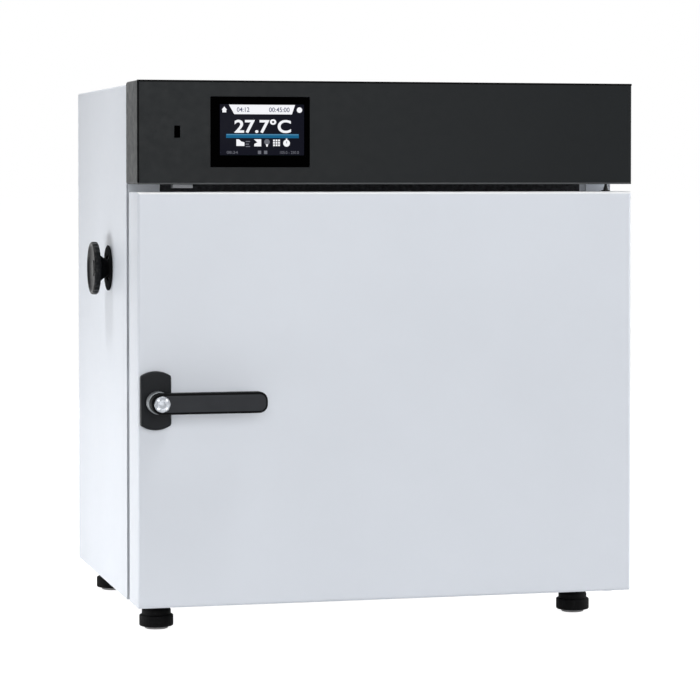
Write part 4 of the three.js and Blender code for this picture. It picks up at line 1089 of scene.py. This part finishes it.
FOOT_LEFT_BOX = (7.6, 52.2, 20.2, 55.4)
FOOT_RIGHT_BOX = (68.6, 52.2, 90.2, 55.4)
FOOT_PAGES = (("foot_page_one", 43.2), ("foot_page_two", 50.2))
FOOT_PAGE_WIDE = 3.7
FOOT_PAGE_TOP = 51.8
FOOT_PAGE_BOTTOM = 55.6

lettering("foot_left", "08:24", FOOT_LEFT_BOX, screen_grey)
for name, left in FOOT_PAGES:
    sign(name, box_loop(left, FOOT_PAGE_TOP, left + FOOT_PAGE_WIDE, FOOT_PAGE_BOTTOM), screen_grey)
lettering("foot_right", "105.0 - 250.0", FOOT_RIGHT_BOX, screen_grey)


# Dark foam between the ribs of the air slot: with the ribs in the same colour it paints the slot as one
# even band of shade

FOAM_INSET = Vector((0.6, 0, 0.3))
FOAM_BEHIND = 3.05
FOAM_EDGE = 0.4

slot_low, slot_high = box_of("vent_grille")
foam_low = slot_low + FOAM_INSET + Vector((0, FACE_LIFT, 0))
foam_high = slot_high - FOAM_INSET + Vector((0, FOAM_BEHIND, 0))
piece("slot_shade_filler", rounded_block(foam_low, foam_high, FOAM_EDGE, 2), "cabinet", slot_shade_foam)


# Upper hinge pin, which is necked above the door: heights are measured from its top

PIN_PROFILE = [
    (0, -34.0), (2.4, -34.0), (2.7, -33.7), (2.7, -9.6), (2.9, -9.4), (2.9, -8.4), (1.5, -3.4),
    (1.5, -1.8), (2.9, -1.7), (2.9, -0.3), (2.6, 0), (0, 0),
]

pin_place = (hinge.x, hinge.y, box_of("hinge_pin_top")[1].z)
# Painted shade: the upper pin is near black where the lower pin is zinc
piece("pivot_pin_top", lathe(PIN_PROFILE, pin_place, TOP, BORE_ROUND), "cabinet", pin_painted_shade,
      ["hinge_pin_top"])


# Thin strips on the panel's front edges: the lower one is lighter than the face, a painted highlight, and
# the left and upper ones are black, painted shade

LOWER_STRIP_INSET = 0.4
LOWER_STRIP_PROUD = 0.15
LOWER_STRIP_BELOW = 0.1
LOWER_STRIP_TALL = 2.0
LOWER_STRIP_BACK = 2.75
LOWER_STRIP_EDGE = 0.8
SHADE_STRIP_WIDE = 2.3
SHADE_STRIP_PROUD = 0.2
SHADE_STRIP_BACK = 2.25
SHADE_STRIP_TOP_INSET = 0.02
SHADE_STRIP_EDGE = 0.5

panel_low, panel_high = box_of("control_panel")
strip_low = (
    panel_low.x + LOWER_STRIP_INSET, panel_low.y - LOWER_STRIP_PROUD, panel_low.z - LOWER_STRIP_BELOW,
)
strip_high = (
    panel_high.x - LOWER_STRIP_INSET, panel_low.y + LOWER_STRIP_BACK, strip_low[2] + LOWER_STRIP_TALL,
)
# Painted highlight: the lower strip is lighter than the panel's face
piece("panel_lower_edge_highlight", rounded_block(strip_low, strip_high, LOWER_STRIP_EDGE), "cabinet", panel_edge_highlight)

shade_strip_left = panel_low.x - FACE_LIFT
shade_strip_right = panel_high.x - FACE_LIFT
shade_strip_top = panel_high.z - SHADE_STRIP_TOP_INSET
shade_strip_front = panel_low.y - SHADE_STRIP_PROUD
shade_strip_back = panel_low.y + SHADE_STRIP_BACK
shade_strip_turn = shade_strip_left + SHADE_STRIP_WIDE
left_shade_strip = rounded_block(
    (shade_strip_left, shade_strip_front, strip_high[2]), (shade_strip_turn, shade_strip_back, shade_strip_top), SHADE_STRIP_EDGE, 2,
)
top_shade_strip = rounded_block(
    (shade_strip_turn, shade_strip_front, shade_strip_top - SHADE_STRIP_WIDE), (shade_strip_right, shade_strip_back, shade_strip_top), SHADE_STRIP_EDGE, 2,
)
# Painted shade: the left and upper strips stand in for the dark shading at the panel's edges
piece("panel_edge_shade_strips", merged(left_shade_strip, top_shade_strip), "cabinet", edge_shadow)


# Wire shelves

SHELF_HALF = (194.9, 110.45)
SHELF_CORNER = 9.0
SHELF_CORNER_STEPS = 8
ROD_RADIUS = 2.95
ROD_SIDES = 5
WIRE_RADIUS = 1.5
WIRE_SIDES = 4
WIRES = 13


def wire_shelf(middle):
    """A bent frame, a cross rod and wires that lie between them."""
    left, right = (middle.x - SHELF_HALF[0], middle.x + SHELF_HALF[0])
    front, back = (middle.y - SHELF_HALF[1], middle.y + SHELF_HALF[1])
    rim = rounded_outline((left, right), (front, back), SHELF_CORNER, SHELF_CORNER_STEPS)
    parts = [tube([(x, y, middle.z) for x, y in rim], ROD_RADIUS, True, ROD_SIDES)]
    cross_rod = [(left, middle.y, middle.z), (right, middle.y, middle.z)]
    parts.append(tube(cross_rod, ROD_RADIUS, False, ROD_SIDES))
    for count in range(WIRES):
        x = left + (count + 1) / (WIRES + 1) * (right - left)
        parts.append(tube([(x, front, middle.z), (x, back, middle.z)], WIRE_RADIUS, False, WIRE_SIDES))
    return merged(*parts)


for shelf in ("lower", "upper"):
    shelf_node = "shelf_" + shelf
    shape = wire_shelf(middle_of(shelf_node))
    piece("wire_shelf_" + shelf, shape, shelf + "_shelf", wire_steel, [shelf_node])


# Air baffle with round intake holes and upright outlets

BAFFLE_INSET = 0.1
BAFFLE_SHEET = 0.9
BAFFLE_CORNER = 0.6
BAFFLE_CORNER_STEPS = 3
BAFFLE_EDGE = 0.1
FLANGE_EDGE = 0.2
INTAKE_RADIUS = 7.0
INTAKE_RINGS = ((22, 6), (44, 12))
OUTLET_REACH = 170.0
OUTLET_WIDE = 8.0
OUTLET_TALL = 22.0
OUTLET_ROUND = 3.9
OUTLET_ROUND_STEPS = 6
OUTLET_PITCH = 36.0
OUTLET_ROWS = 8
HOLE_STEPS = 24
PROBE_HOLE_RADIUS = 3.2
PROBE_HOLE_STEPS = 20

baffle = middle_of("air_baffle")
baffle_low, baffle_high = box_of("air_baffle")
probe = middle_of("temperature_probe")
baffle_left = baffle_low.x + BAFFLE_INSET
baffle_right = baffle_high.x - BAFFLE_INSET
baffle_bottom = baffle_low.z + BAFFLE_INSET
baffle_top = baffle_high.z - BAFFLE_INSET
baffle_front = baffle_low.y + FACE_LIFT
baffle_back = baffle_high.y - FACE_LIFT


def baffle_loops():
    """The sheet's outline, then each hole's."""
    loops = [
        rounded_outline((baffle_left, baffle_right), (baffle_bottom, baffle_top), BAFFLE_CORNER,
                        BAFFLE_CORNER_STEPS),
        round_outline(baffle.x, baffle.z, INTAKE_RADIUS, HOLE_STEPS),
        round_outline(probe.x, probe.z, PROBE_HOLE_RADIUS, PROBE_HOLE_STEPS),
    ]
    for reach, count in INTAKE_RINGS:
        for index in range(count):
            turn = 2 * math.pi * index / count
            hole_x = baffle.x + reach * math.cos(turn)
            hole_z = baffle.z + reach * math.sin(turn)
            loops.append(round_outline(hole_x, hole_z, INTAKE_RADIUS, HOLE_STEPS))
    for side in (-1, 1):
        slot_x = baffle.x + side * OUTLET_REACH
        for row in range(OUTLET_ROWS):
            slot_z = baffle.z + (row - (OUTLET_ROWS - 1) / 2) * OUTLET_PITCH
            loops.append(rounded_outline(
                (slot_x - OUTLET_WIDE / 2, slot_x + OUTLET_WIDE / 2),
                (slot_z - OUTLET_TALL / 2, slot_z + OUTLET_TALL / 2), OUTLET_ROUND, OUTLET_ROUND_STEPS,
            ))
    return loops


def make_baffle():
    """The pierced sheet with a flange at each side."""
    parts = [plate(baffle_loops(), -baffle_front - BAFFLE_SHEET, -baffle_front, FRONT, BAFFLE_EDGE, 1)]
    for x in (baffle_left, baffle_right - BAFFLE_SHEET):
        low = (x, baffle_front, baffle_bottom)
        high = (x + BAFFLE_SHEET, baffle_back, baffle_top)
        parts.append(rounded_block(low, high, FLANGE_EDGE, 1))
    piece("baffle_sheet", merged(*parts), "cabinet", steel, ["air_baffle"])


make_baffle()


# Screws that hold the back cover and the baffle: the cover's rows are heights above the floor

COVER_COLUMNS = (-279.0, -101.0, 101.0, 279.0)
COVER_ROWS = (46.0, 612.0)
COVER_SIDE_ROWS = (190.0, 330.0, 470.0)
COVER_SCREW = (3.4, 1.7)
BAFFLE_REACH = 188.0
BAFFLE_RISE = 149.5
BAFFLE_SCREW = (3.0, 1.5)
SCREW_PROFILE_SHARES = [
    (0, 0), (1, 0), (1, 0.35), (0.86, 0.75), (0.5, 1), (0.2, 1), (0.16, 0.6), (0, 0.6),
]

cover_back = box_of("rear_cover")[1].y
cover = middle_of("rear_cover")


def screw(place, placing, size):
    """A low round head with a recess. The size is its radius and height."""
    radius, height = size
    profile = [(radius * out, height * up) for out, up in SCREW_PROFILE_SHARES]
    return lathe(profile, place, placing, SMALL_ROUND)


def cover_screw(column, row):
    return screw((cover.x + column, cover_back + FACE_LIFT, row), BACK, COVER_SCREW)


cover_screws = [cover_screw(column, row) for column in COVER_COLUMNS for row in COVER_ROWS]
cover_screws += [cover_screw(column, row) for row in COVER_SIDE_ROWS
                 for column in (COVER_COLUMNS[0], COVER_COLUMNS[-1])]
piece("back_cover_screws", merged(*cover_screws), "cabinet", zinc)

baffle_screws = []
for side in (-BAFFLE_REACH, BAFFLE_REACH):
    for rise in (-BAFFLE_RISE, BAFFLE_RISE):
        baffle_screws.append(screw((baffle.x + side, baffle_front, baffle.z + rise), FRONT, BAFFLE_SCREW))
piece("baffle_screws", merged(*baffle_screws), "cabinet", chrome)
